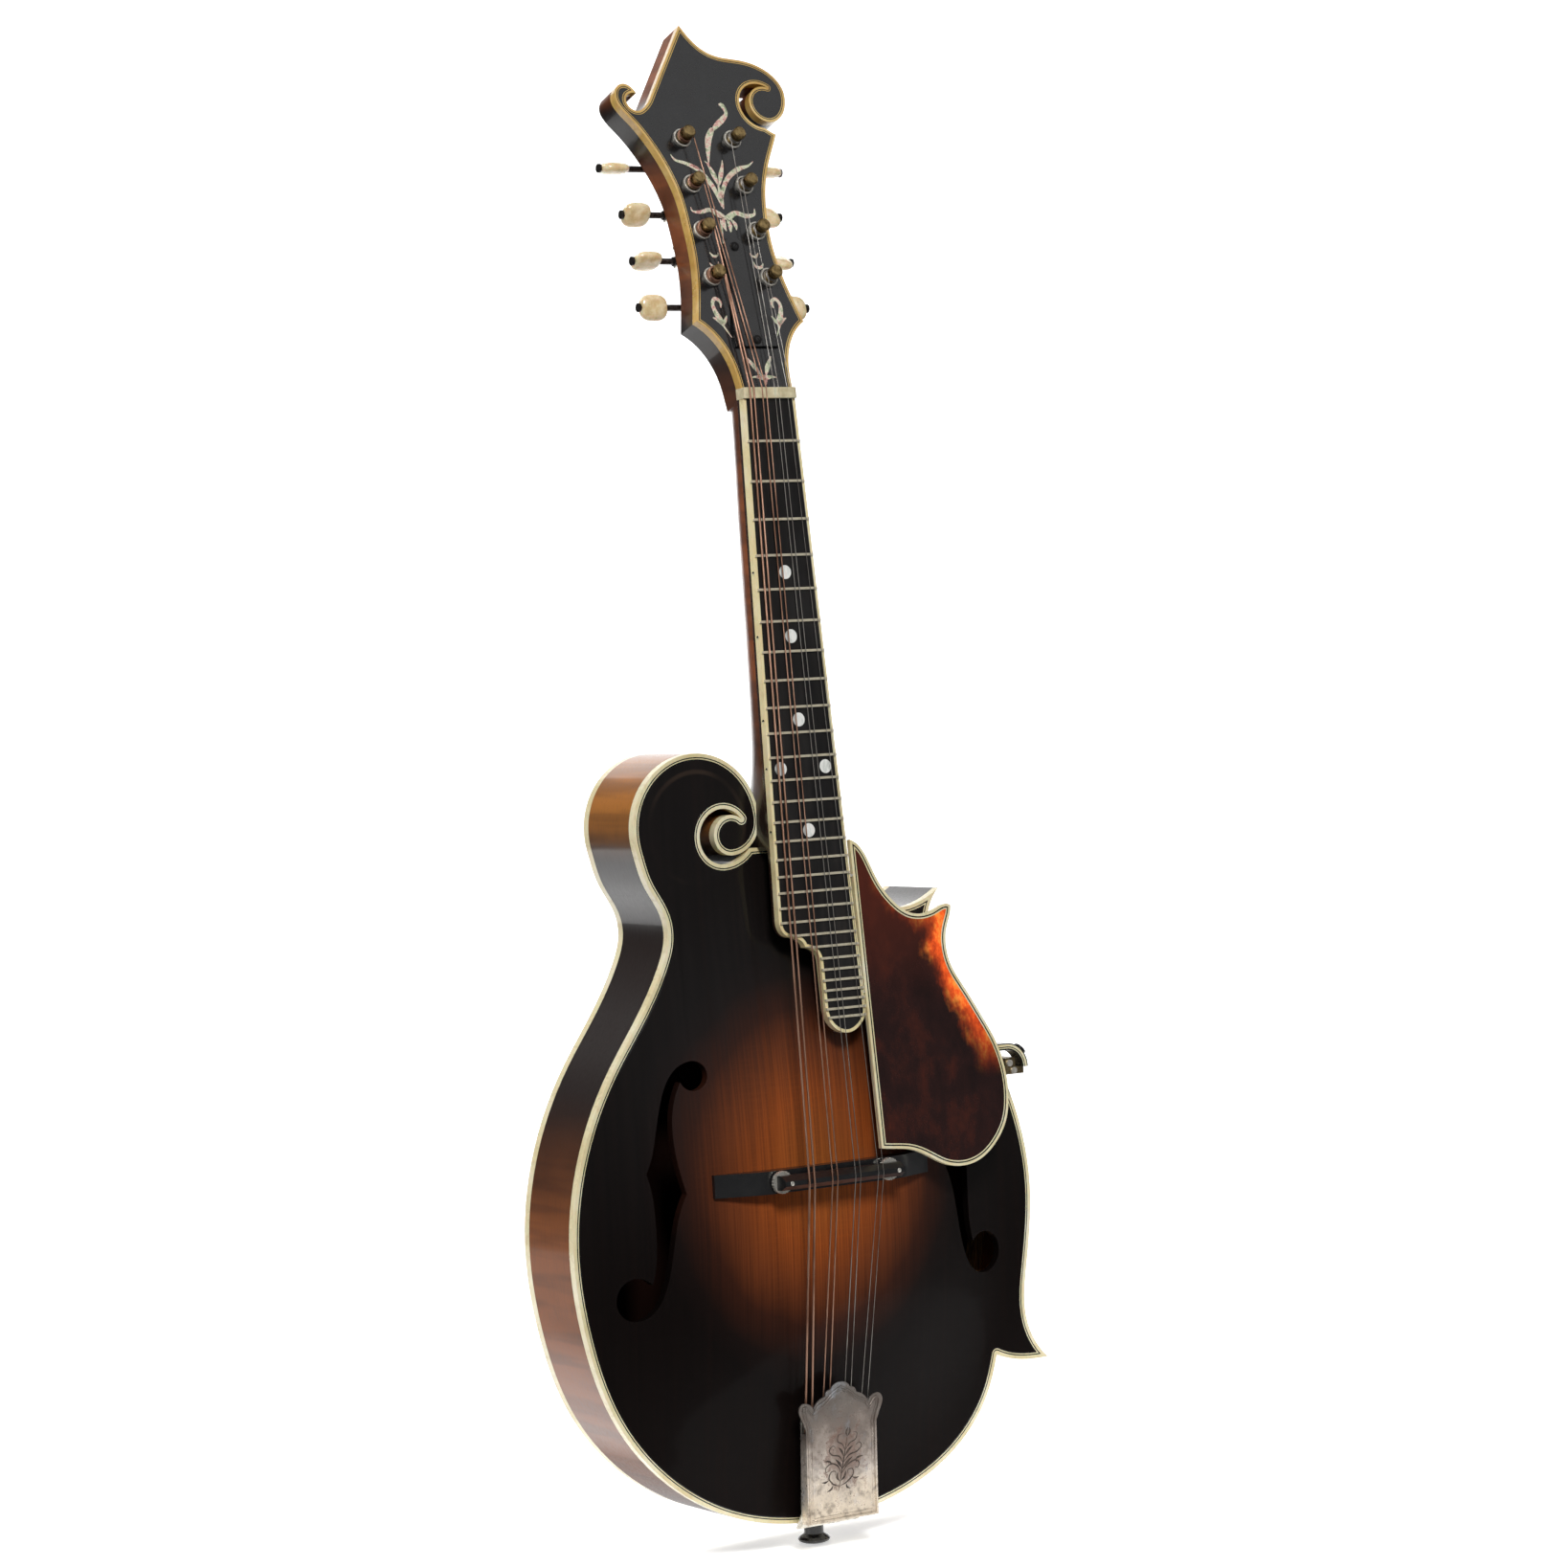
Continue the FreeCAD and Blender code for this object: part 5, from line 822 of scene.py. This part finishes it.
POST_SPRIGS = (
    ((13.4, 73.6, 0.4), (11.6, 71.6, 1.4), (9.4, 72.2, 0.8), (8.8, 73.6, 0.3)),
    ((14.8, 68.2, 0.4), (13.0, 66.2, 1.6), (10.4, 66.6, 1.2), (9.8, 69.0, 0.4)),
)
NUT_SPRAY = (
    ((-1.2, 11.4, 0.5), (-3.6, 15.4, 2.4), (-6.4, 19.4, 1.4), (-7.6, 21.2, 0.3)),
    ((1.2, 11.4, 0.5), (3.0, 15.4, 2.4), (5.4, 19.4, 1.4), (6.4, 21.2, 0.3)),
    ((-7.4, 10.4, 0.3), (-4.4, 10.8, 1.2), (0.0, 10.4, 2.6), (4.4, 10.8, 1.2), (7.2, 10.4, 0.3)),
    ((0.0, 11.8, 0.8), (0.2, 9.0, 2.2), (0.0, 6.8, 0.4)),
)


def add_inlay():
    inlay = Shape()
    for stroke in PLUME + SPRAY + WINGS + NUT_SPRAY:
        inlay.leaf(stroke, INLAY_LOW, INLAY_HIGH)
    for strokes in (CORNERS, POST_SPRIGS):
        for side in (-1, 1):
            for stroke in strokes:
                mirrored = [(side * x, y, width) for x, y, width in stroke]
                inlay.leaf(mirrored, INLAY_LOW, INLAY_HIGH)
    piece("peghead_inlay", inlay.verts, inlay.faces, EXTRA["inlay"], ROOT, HEAD,
          smooth=False)


add_inlay()

# ---------------------------------------------------------------- screws of the truss rod cover

# Distance from the nut in millimetres, and the turn of the slot.
SCREW_SPOTS = ((28.8, 0.5), (76.0, -0.7))
SCREW_FOOT, SCREW_RADIUS, SCREW_HEIGHT = 1.6, 2.3, 1.0
SLOT_WIDE, SLOT_DEEP = 0.55, 0.6


def add_cover_screws():
    screws = Shape()
    for spot, turn in SCREW_SPOTS:
        place = stand_on(at(HEAD, 0, spot, SCREW_FOOT), HEAD_OUT, turn)
        screws.slotted_dome(place, SCREW_RADIUS, SCREW_HEIGHT, SLOT_WIDE, SLOT_DEEP)
    piece("truss_cover_screws", screws.verts, screws.faces, EXTRA["turned_ebony"], ROOT)


add_cover_screws()

# ---------------------------------------------------------------- bushing rims, painted shade rings and stud ends

# Profiles of (radius, height) in millimetres.
RIM_PROFILE = ((4.5, 1.3), (4.58, 1.45), (4.45, 1.66), (4.15, 1.74), (3.85, 1.66), (3.72, 1.45),
               (3.8, 1.3), (4.5, 1.3))
# A thin dark ring inside each rim is painted shade for the recess round the post.
RECESS_SHADE_PROFILE = ((3.3, 1.36), (3.74, 1.36), (3.74, 1.44), (3.3, 1.44), (3.3, 1.36))
STUD_PROFILE = ((0, -0.3), (1.0, -0.3), (1.0, 0.12), (0.8, 0.24), (0, 0.26))


def add_bushing_rims():
    rims, recess_shades = Shape(), Shape()
    for name, joint in JOINTS.items():
        if name.startswith("post_"):
            spot = HEAD.inverted() @ Vector(joint["pos_m"])
            spot.z = 0
            place = stand_on(HEAD @ spot, HEAD_OUT)
            rims.lathe(RIM_PROFILE, place)
            recess_shades.lathe(RECESS_SHADE_PROFILE, place)
    piece("bushing_rims", rims.verts, rims.faces, MATERIALS["nickel"], ROOT)
    # Painted shade: dark rings in the recesses of the bushings.
    piece("bushing_recess_shades", recess_shades.verts, recess_shades.faces, EXTRA["dark_steel_and_painted_shade"], ROOT)


def add_stud_ends():
    """Bright ends of the studs, seen in the saddle's crest."""
    ends = Shape()
    for wheel in ("wheel_bass_turn", "wheel_treble_turn"):
        spot = Vector(JOINTS[wheel]["pos_m"])
        spot.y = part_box("bridge_saddle")[0].y
        ends.lathe(STUD_PROFILE, stand_on(spot, (0, -1, 0)), 24)
    piece("stud_ends", ends.verts, ends.faces, MATERIALS["nickel"], "saddle")


add_bushing_rims()
add_stud_ends()

# ---------------------------------------------------------------- tailpiece cover ornament

COVER_HALF, COVER_SHOULDER = 19.5, 43.6
# Crest from the shoulder to the peak: (x, y), then how much of an inset each takes off.
COVER_CREST = (
    (20.0, 46.6, 1.0, 0.0), (21.4, 50.6, 0.8, 0.0), (22.2, 53.8, 1.0, 0.0), (20.6, 55.6, 0.8, 0.6),
    (18.2, 55.2, 0.0, 0.9), (15.4, 52.2, 0.0, 0.9), (13.2, 55.4, 0.0, 1.0), (8.6, 57.6, 0.0, 1.0),
    (5.0, 60.6, 0.0, 1.0), (0.0, 63.4, 0.0, 1.0),
)
OUTER_RIM, INNER_RIM = (1.1, 0.12, 0.42, 8), (2.9, 0.0, 0.22, 6)  # inset, height, radius, sides
BEAD_INSET, BEAD_STEP, BEAD_SIDES = 2.0, 0.85, 6
BEAD_PROFILE = ((0.3, -0.02), (0.26, 0.12), (0.15, 0.2), (0, 0.22))


def cover_ring(inset):
    """The cover's outline drawn in by a distance, in millimetres on its face."""
    half = COVER_HALF - inset
    flank = [(half, inset), (half, 20.0), (half, COVER_SHOULDER)]
    crest = [(x - inset * less_x, y - inset * less_y) for x, y, less_x, less_y in COVER_CREST]
    half_path = flank + spline(crest, 5)
    return half_path + [(-x, y) for x, y in reversed(half_path[:-1])]


def add_cover_rims():
    rim = Shape()
    for inset, height, radius, sides in (OUTER_RIM, INNER_RIM):
        path = [at(COVER, x, y, height) for x, y in cover_ring(inset)]
        rim.tube(path, radius * MM, sides, True)
    piece("cover_rims", rim.verts, rim.faces, MATERIALS["engraved_nickel"], "cover")


def add_cover_beading():
    """A row of small beads between the rims, evenly spaced round the outline."""
    beads = Shape()
    track = cover_ring(BEAD_INSET)
    carried = 0.0
    for a, b in zip(track, track[1:] + track[:1]):
        length = math.hypot(b[0] - a[0], b[1] - a[1])
        spot = -carried
        while spot < length:
            if spot >= 0:
                share = spot / length
                centre = Vector((a[0] + (b[0] - a[0]) * share, a[1] + (b[1] - a[1]) * share, 0))
                beads.lathe(BEAD_PROFILE, COVER @ Matrix.Translation(centre * MM), BEAD_SIDES)
            spot += BEAD_STEP
        carried = (length - (spot - BEAD_STEP)) % BEAD_STEP
    piece("cover_beading", beads.verts, beads.faces, MATERIALS["engraved_nickel"], "cover")


add_cover_rims()
add_cover_beading()

# Strokes of (x, y, width) in millimetres, drawn upright and then leaned over on the cover.
SCROLLWORK = (
    ((0.0, 15.0, 0.2), (0.0, 24.0, 0.5), (0.0, 33.0, 0.7), (0.0, 42.0, 0.5), (0.0, 49.0, 0.2)),
    ((0.4, 18.0, 0.2), (4.0, 19.4, 0.6), (7.6, 23.4, 0.7), (7.0, 27.4, 0.5), (4.2, 27.6, 0.4),
     (3.8, 25.0, 0.2)),
    ((0.4, 26.0, 0.2), (3.0, 30.6, 0.7), (7.4, 33.0, 0.7), (10.6, 31.0, 0.5), (10.2, 28.0, 0.4),
     (8.2, 28.6, 0.2)),
    ((0.4, 33.0, 0.2), (3.4, 37.0, 0.7), (8.0, 38.4, 0.6), (10.4, 41.6, 0.5), (8.4, 44.2, 0.4),
     (6.4, 42.4, 0.2)),
    ((0.4, 41.0, 0.2), (2.6, 44.6, 0.6), (5.8, 46.6, 0.5), (6.0, 50.4, 0.4), (3.6, 51.2, 0.2)),
    ((0.4, 21.0, 0.1), (2.4, 23.6, 1.2), (2.6, 27.0, 0.2)),
    ((0.4, 29.0, 0.1), (2.4, 32.2, 1.3), (5.4, 35.4, 0.2)),
    ((0.4, 36.4, 0.1), (2.2, 40.0, 1.2), (4.6, 42.6, 0.2)),
    ((7.4, 33.0, 0.2), (9.4, 34.6, 1.0), (12.4, 35.0, 0.2)),
    ((7.6, 22.6, 0.2), (9.6, 21.4, 0.9), (12.0, 21.8, 0.2)),
    ((0.0, 49.0, 0.1), (1.2, 51.8, 1.0), (0.4, 54.8, 0.2)),
    ((4.2, 18.8, 0.2), (5.2, 16.4, 0.9), (7.6, 15.2, 0.2)),
)
SCROLL_LOW, SCROLL_HIGH, SCROLL_STEPS = -0.05, 0.02, 6


def leaned(x, y):
    """A point of the scrollwork, narrowed, shortened and leaned to one side."""
    return x * 0.86 + (y - 30) * 0.16, 14 + (y - 15) * 0.72


def add_engraving():
    lines = Shape()
    for side in (-1, 1):
        for stroke in SCROLLWORK:
            on_axis = stroke[1][0] == 0.0
            if side == 1 or not on_axis:
                drawn = [(*leaned(side * x, y), width) for x, y, width in stroke]
                lines.leaf(drawn, SCROLL_LOW, SCROLL_HIGH, SCROLL_STEPS)
    piece("cover_engraving", lines.verts, lines.faces, EXTRA["engraving"], "cover",
          COVER, smooth=False)


add_engraving()

# ---------------------------------------------------------------- tuner buttons


def superquad(matrix, radii, bend, around=28, along=18):
    """Closed rounded form: radii in metres along X, Y, Z; bend below 1 squares it."""
    def power(value, exponent):
        return math.copysign(abs(value) ** exponent, value)

    verts, faces = [], []
    for i in range(along + 1):
        lat = math.pi * (i / along - 0.5)
        for k in range(around):
            turn = 2 * math.pi * k / around
            flat = power(math.cos(lat), bend[1])
            verts.append(matrix @ Vector((
                radii[0] * flat * power(math.cos(turn), bend[0]),
                radii[1] * flat * power(math.sin(turn), bend[0]),
                radii[2] * power(math.sin(lat), bend[1]))))
    for i in range(along):
        for k in range(around):
            j = (k + 1) % around
            faces.append((i * around + k, i * around + j, (i + 1) * around + j, (i + 1) * around + k))
    return verts, faces


SIDES = {"bass": -1, "treble": 1}
TUNERS = [(side_name, number) for side_name in SIDES for number in (1, 2, 3, 4)]
BUTTON_TURN = {"bass": (71.0, 13.0, 39.0, -19.0), "treble": (96.0, 44.0, 70.0, 21.0)}
BUTTON_BROAD, BUTTON_THIN, BUTTON_BEND = 6.15 * MM, 2.75 * MM, (0.85, 0.72)


def add_button(side_name, number):
    """A moulded button on its worm's axis, stopped at its own angle."""
    tuner = f"{side_name}_{number}"
    low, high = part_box("tuner_button_" + tuner)
    axis_point = Vector(JOINTS[f"worm_{tuner}_turn"]["pos_m"])
    outward = Matrix.Rotation(math.radians(90 * SIDES[side_name]), 3, "Y")
    turn = Matrix.Rotation(math.radians(BUTTON_TURN[side_name][number - 1]), 3, "Z")
    matrix = (HEAD.to_3x3() @ outward @ turn).to_4x4()
    matrix.translation = Vector(((low.x + high.x) / 2, axis_point.y, axis_point.z))
    radii = (BUTTON_BROAD, BUTTON_THIN, (high.x - low.x) / 2)
    verts, faces = superquad(matrix, radii, BUTTON_BEND)
    piece("button_" + tuner, verts, faces, MATERIALS["ivory_button"], "worm_" + tuner,
          stands_for=("tuner_button_" + tuner,))


for tuner_side, tuner_number in TUNERS:
    add_button(tuner_side, tuner_number)

# ---------------------------------------------------------------- string turns on the posts

POST_RADIUS, TURNS_TOP, TURNS_GAP = 3.1, 4.9, 0.03
STRING_RADIUS = {"bass": (0.50, 0.50, 0.33, 0.33), "treble": (0.14, 0.14, 0.19, 0.19)}
THICK_STRING, THICK_TURNS, THIN_TURNS, TURN_STEPS, TURN_SIDES = 0.3, 3, 5, 26, 6


def add_string_turns(side_name, number):
    """The string wound down round its post, sunk a little into it."""
    tuner = f"{side_name}_{number}"
    radius = STRING_RADIUS[side_name][number - 1]
    joint = JOINTS[f"post_{tuner}_turn"]
    place = stand_on(joint["pos_m"], joint["axis"])
    count = THICK_TURNS if radius > THICK_STRING else THIN_TURNS
    reach = POST_RADIUS + radius * 0.9 - 0.1
    path = []
    for k in range(count * TURN_STEPS + 1):
        turn = 2 * math.pi * k / TURN_STEPS
        height = TURNS_TOP - 2 * (radius + TURNS_GAP) * k / TURN_STEPS
        path.append(at(place, reach * math.cos(turn), reach * math.sin(turn), height))
    turns = Shape()
    turns.tube(path, radius * MM, TURN_SIDES)
    piece("string_turns_" + tuner, turns.verts, turns.faces, MATERIALS["string_wire"],
          "post_" + tuner)


for tuner_side, tuner_number in TUNERS:
    add_string_turns(tuner_side, tuner_number)

# ---------------------------------------------------------------- strings split at the saddle's crest

CREST = Vector((0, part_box("bridge_saddle")[0].y, JOINTS["wheel_bass_turn"]["pos_m"][2]))


def string_span(name, upper):
    """The strings on one side of the saddle, cut from the CAD strings at the height of its crest."""
    cut = bmesh.new()
    cut.from_mesh(NODES["strings"].data)
    everything = cut.verts[:] + cut.edges[:] + cut.faces[:]
    bmesh.ops.bisect_plane(cut, geom=everything, plane_co=CREST, plane_no=(0, 0, 1),
                           clear_inner=upper, clear_outer=not upper)
    cut.verts.index_update()
    verts = [tuple(v.co) for v in cut.verts]
    faces = [tuple(v.index for v in face.verts) for face in cut.faces]
    cut.free()
    obj = piece(name, verts, faces, MATERIALS["string_wire"], None,
                stands_for=("strings",))
    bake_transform(obj)


string_span("strings_nut_side", True)
string_span("strings_tail_side", False)

# ---------------------------------------------------------------- stage, light and camera

# The floor runs away from the camera and curves up; it is wider to the right as it goes.
FLOOR_GAP = 0.0002
FLOOR_NEAR, FLOOR_FAR = -0.16, 0.9
FLOOR_LEFT, FLOOR_RIGHT, FLOOR_SPREAD = 1.15, 0.42, 0.4
CURVE_RADIUS, CURVE_STEPS, WALL_TOP = 0.6, 12, 1.6
WHITE, WHITE_GLOW = (0.96, 0.96, 0.955), 0.55
# Name, place, point it looks at, size in metres, power in watts.
LIGHTS = (
    ("top_back", (-0.9, 1.0, 2.0), (0, 0, 0.4), (1.4, 0.8), 22),
    ("low_left", (-1.7, 0.5, 0.12), (0, 0, 0.12), (0.5, 0.3), 5),
    ("head_high", (0.95, -1.2, 1.75), (0, 0, 0.6), (0.9, 0.7), 1.5),
    ("front", (-0.9, -2.2, 1.9), (0, 0, 0.3), (0.6, 0.6), 66),
    ("back_right", (1.6, 1.3, 1.3), (0, 0, 0.3), (1.0, 1.6), 18),
)
SKY, SKY_STRENGTH = (0.82, 0.84, 0.87, 1.0), 0.12
CAMERA_AT = Vector((-1.09215, -1.67008, 0.4058))
RIGHT = Vector((0.834613, -0.548857, -0.046660))
UP = Vector((0.055324, -0.000756, 0.998468))
BEHIND = Vector((-0.548051, -0.835916, 0.029734))
LENS_MM, SENSOR_MM = 98.9010989, 36.0


def stage_material(name, colour, power):
    p = Paint(name)
    cloud = p.noise((2, 2, 2), 2.0)
    p.set(colour=p.blend(p.remap(cloud, 0.2, 0.8), colour, tuple(0.985 * c for c in colour)),
          rough=0.9, gloss=0.0, glow=(1.0, 1.0, 1.0), glow_power=power)
    return p.material


def backdrop():
    """White floor that curves up into a white wall behind the mandolin."""
    floor_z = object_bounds()[0].z - FLOOR_GAP
    away = Vector((-BEHIND.x, -BEHIND.y, 0)).normalized()
    across = Vector((away.y, -away.x, 0))
    profile = [(FLOOR_NEAR, 0.0), (FLOOR_FAR, 0.0)]
    for k in range(1, CURVE_STEPS + 1):
        turn = math.pi / 2 * k / CURVE_STEPS
        profile.append((FLOOR_FAR + CURVE_RADIUS * math.sin(turn),
                        CURVE_RADIUS - CURVE_RADIUS * math.cos(turn)))
    profile.append((FLOOR_FAR + CURVE_RADIUS, WALL_TOP))
    verts, faces = [], []
    for distance, height in profile:
        for side in (-FLOOR_LEFT, FLOOR_RIGHT + FLOOR_SPREAD * max(distance, 0.0)):
            verts.append(away * distance + across * side + Vector((0, 0, floor_z + height)))
    for i in range(len(profile) - 1):
        faces.append((2 * i, 2 * i + 1, 2 * i + 3, 2 * i + 2))
    mesh = bpy.data.meshes.new("studio_floor")
    mesh.from_pydata([tuple(v) for v in verts], [], faces)
    mesh.polygons.foreach_set("use_smooth", [True] * len(mesh.polygons))
    mesh.materials.append(stage_material("studio_white", WHITE, WHITE_GLOW))
    obj = bpy.data.objects.new("studio_floor", mesh)
    bpy.context.scene.collection.objects.link(obj)


def soft_light(name, place, aim, size, power):
    data = bpy.data.lights.new(name, "AREA")
    data.shape = "RECTANGLE"
    data.size, data.size_y = size
    data.energy = power
    obj = bpy.data.objects.new(name, data)
    obj.location = place
    obj.rotation_euler = (Vector(aim) - Vector(place)).to_track_quat("-Z", "Y").to_euler()
    bpy.context.scene.collection.objects.link(obj)


def add_sky():
    world = bpy.data.worlds.new("studio")
    bpy.context.scene.world = world
    world.use_nodes = True
    background = world.node_tree.nodes["Background"]
    background.inputs["Color"].default_value = SKY
    background.inputs["Strength"].default_value = SKY_STRENGTH


def add_camera():
    lens = bpy.data.cameras.new("camera")
    lens.sensor_width = SENSOR_MM
    lens.lens = LENS_MM
    lens.clip_start, lens.clip_end = 0.05, 30.0
    camera = bpy.data.objects.new("camera", lens)
    camera.matrix_world = Matrix((
        (RIGHT.x, UP.x, BEHIND.x, CAMERA_AT.x),
        (RIGHT.y, UP.y, BEHIND.y, CAMERA_AT.y),
        (RIGHT.z, UP.z, BEHIND.z, CAMERA_AT.z),
        (0, 0, 0, 1),
    ))
    bpy.context.scene.collection.objects.link(camera)
    bpy.context.scene.camera = camera


backdrop()
for light in LIGHTS:
    soft_light(*light)
add_sky()
add_camera()
bpy.context.scene.view_settings.view_transform = "Standard"
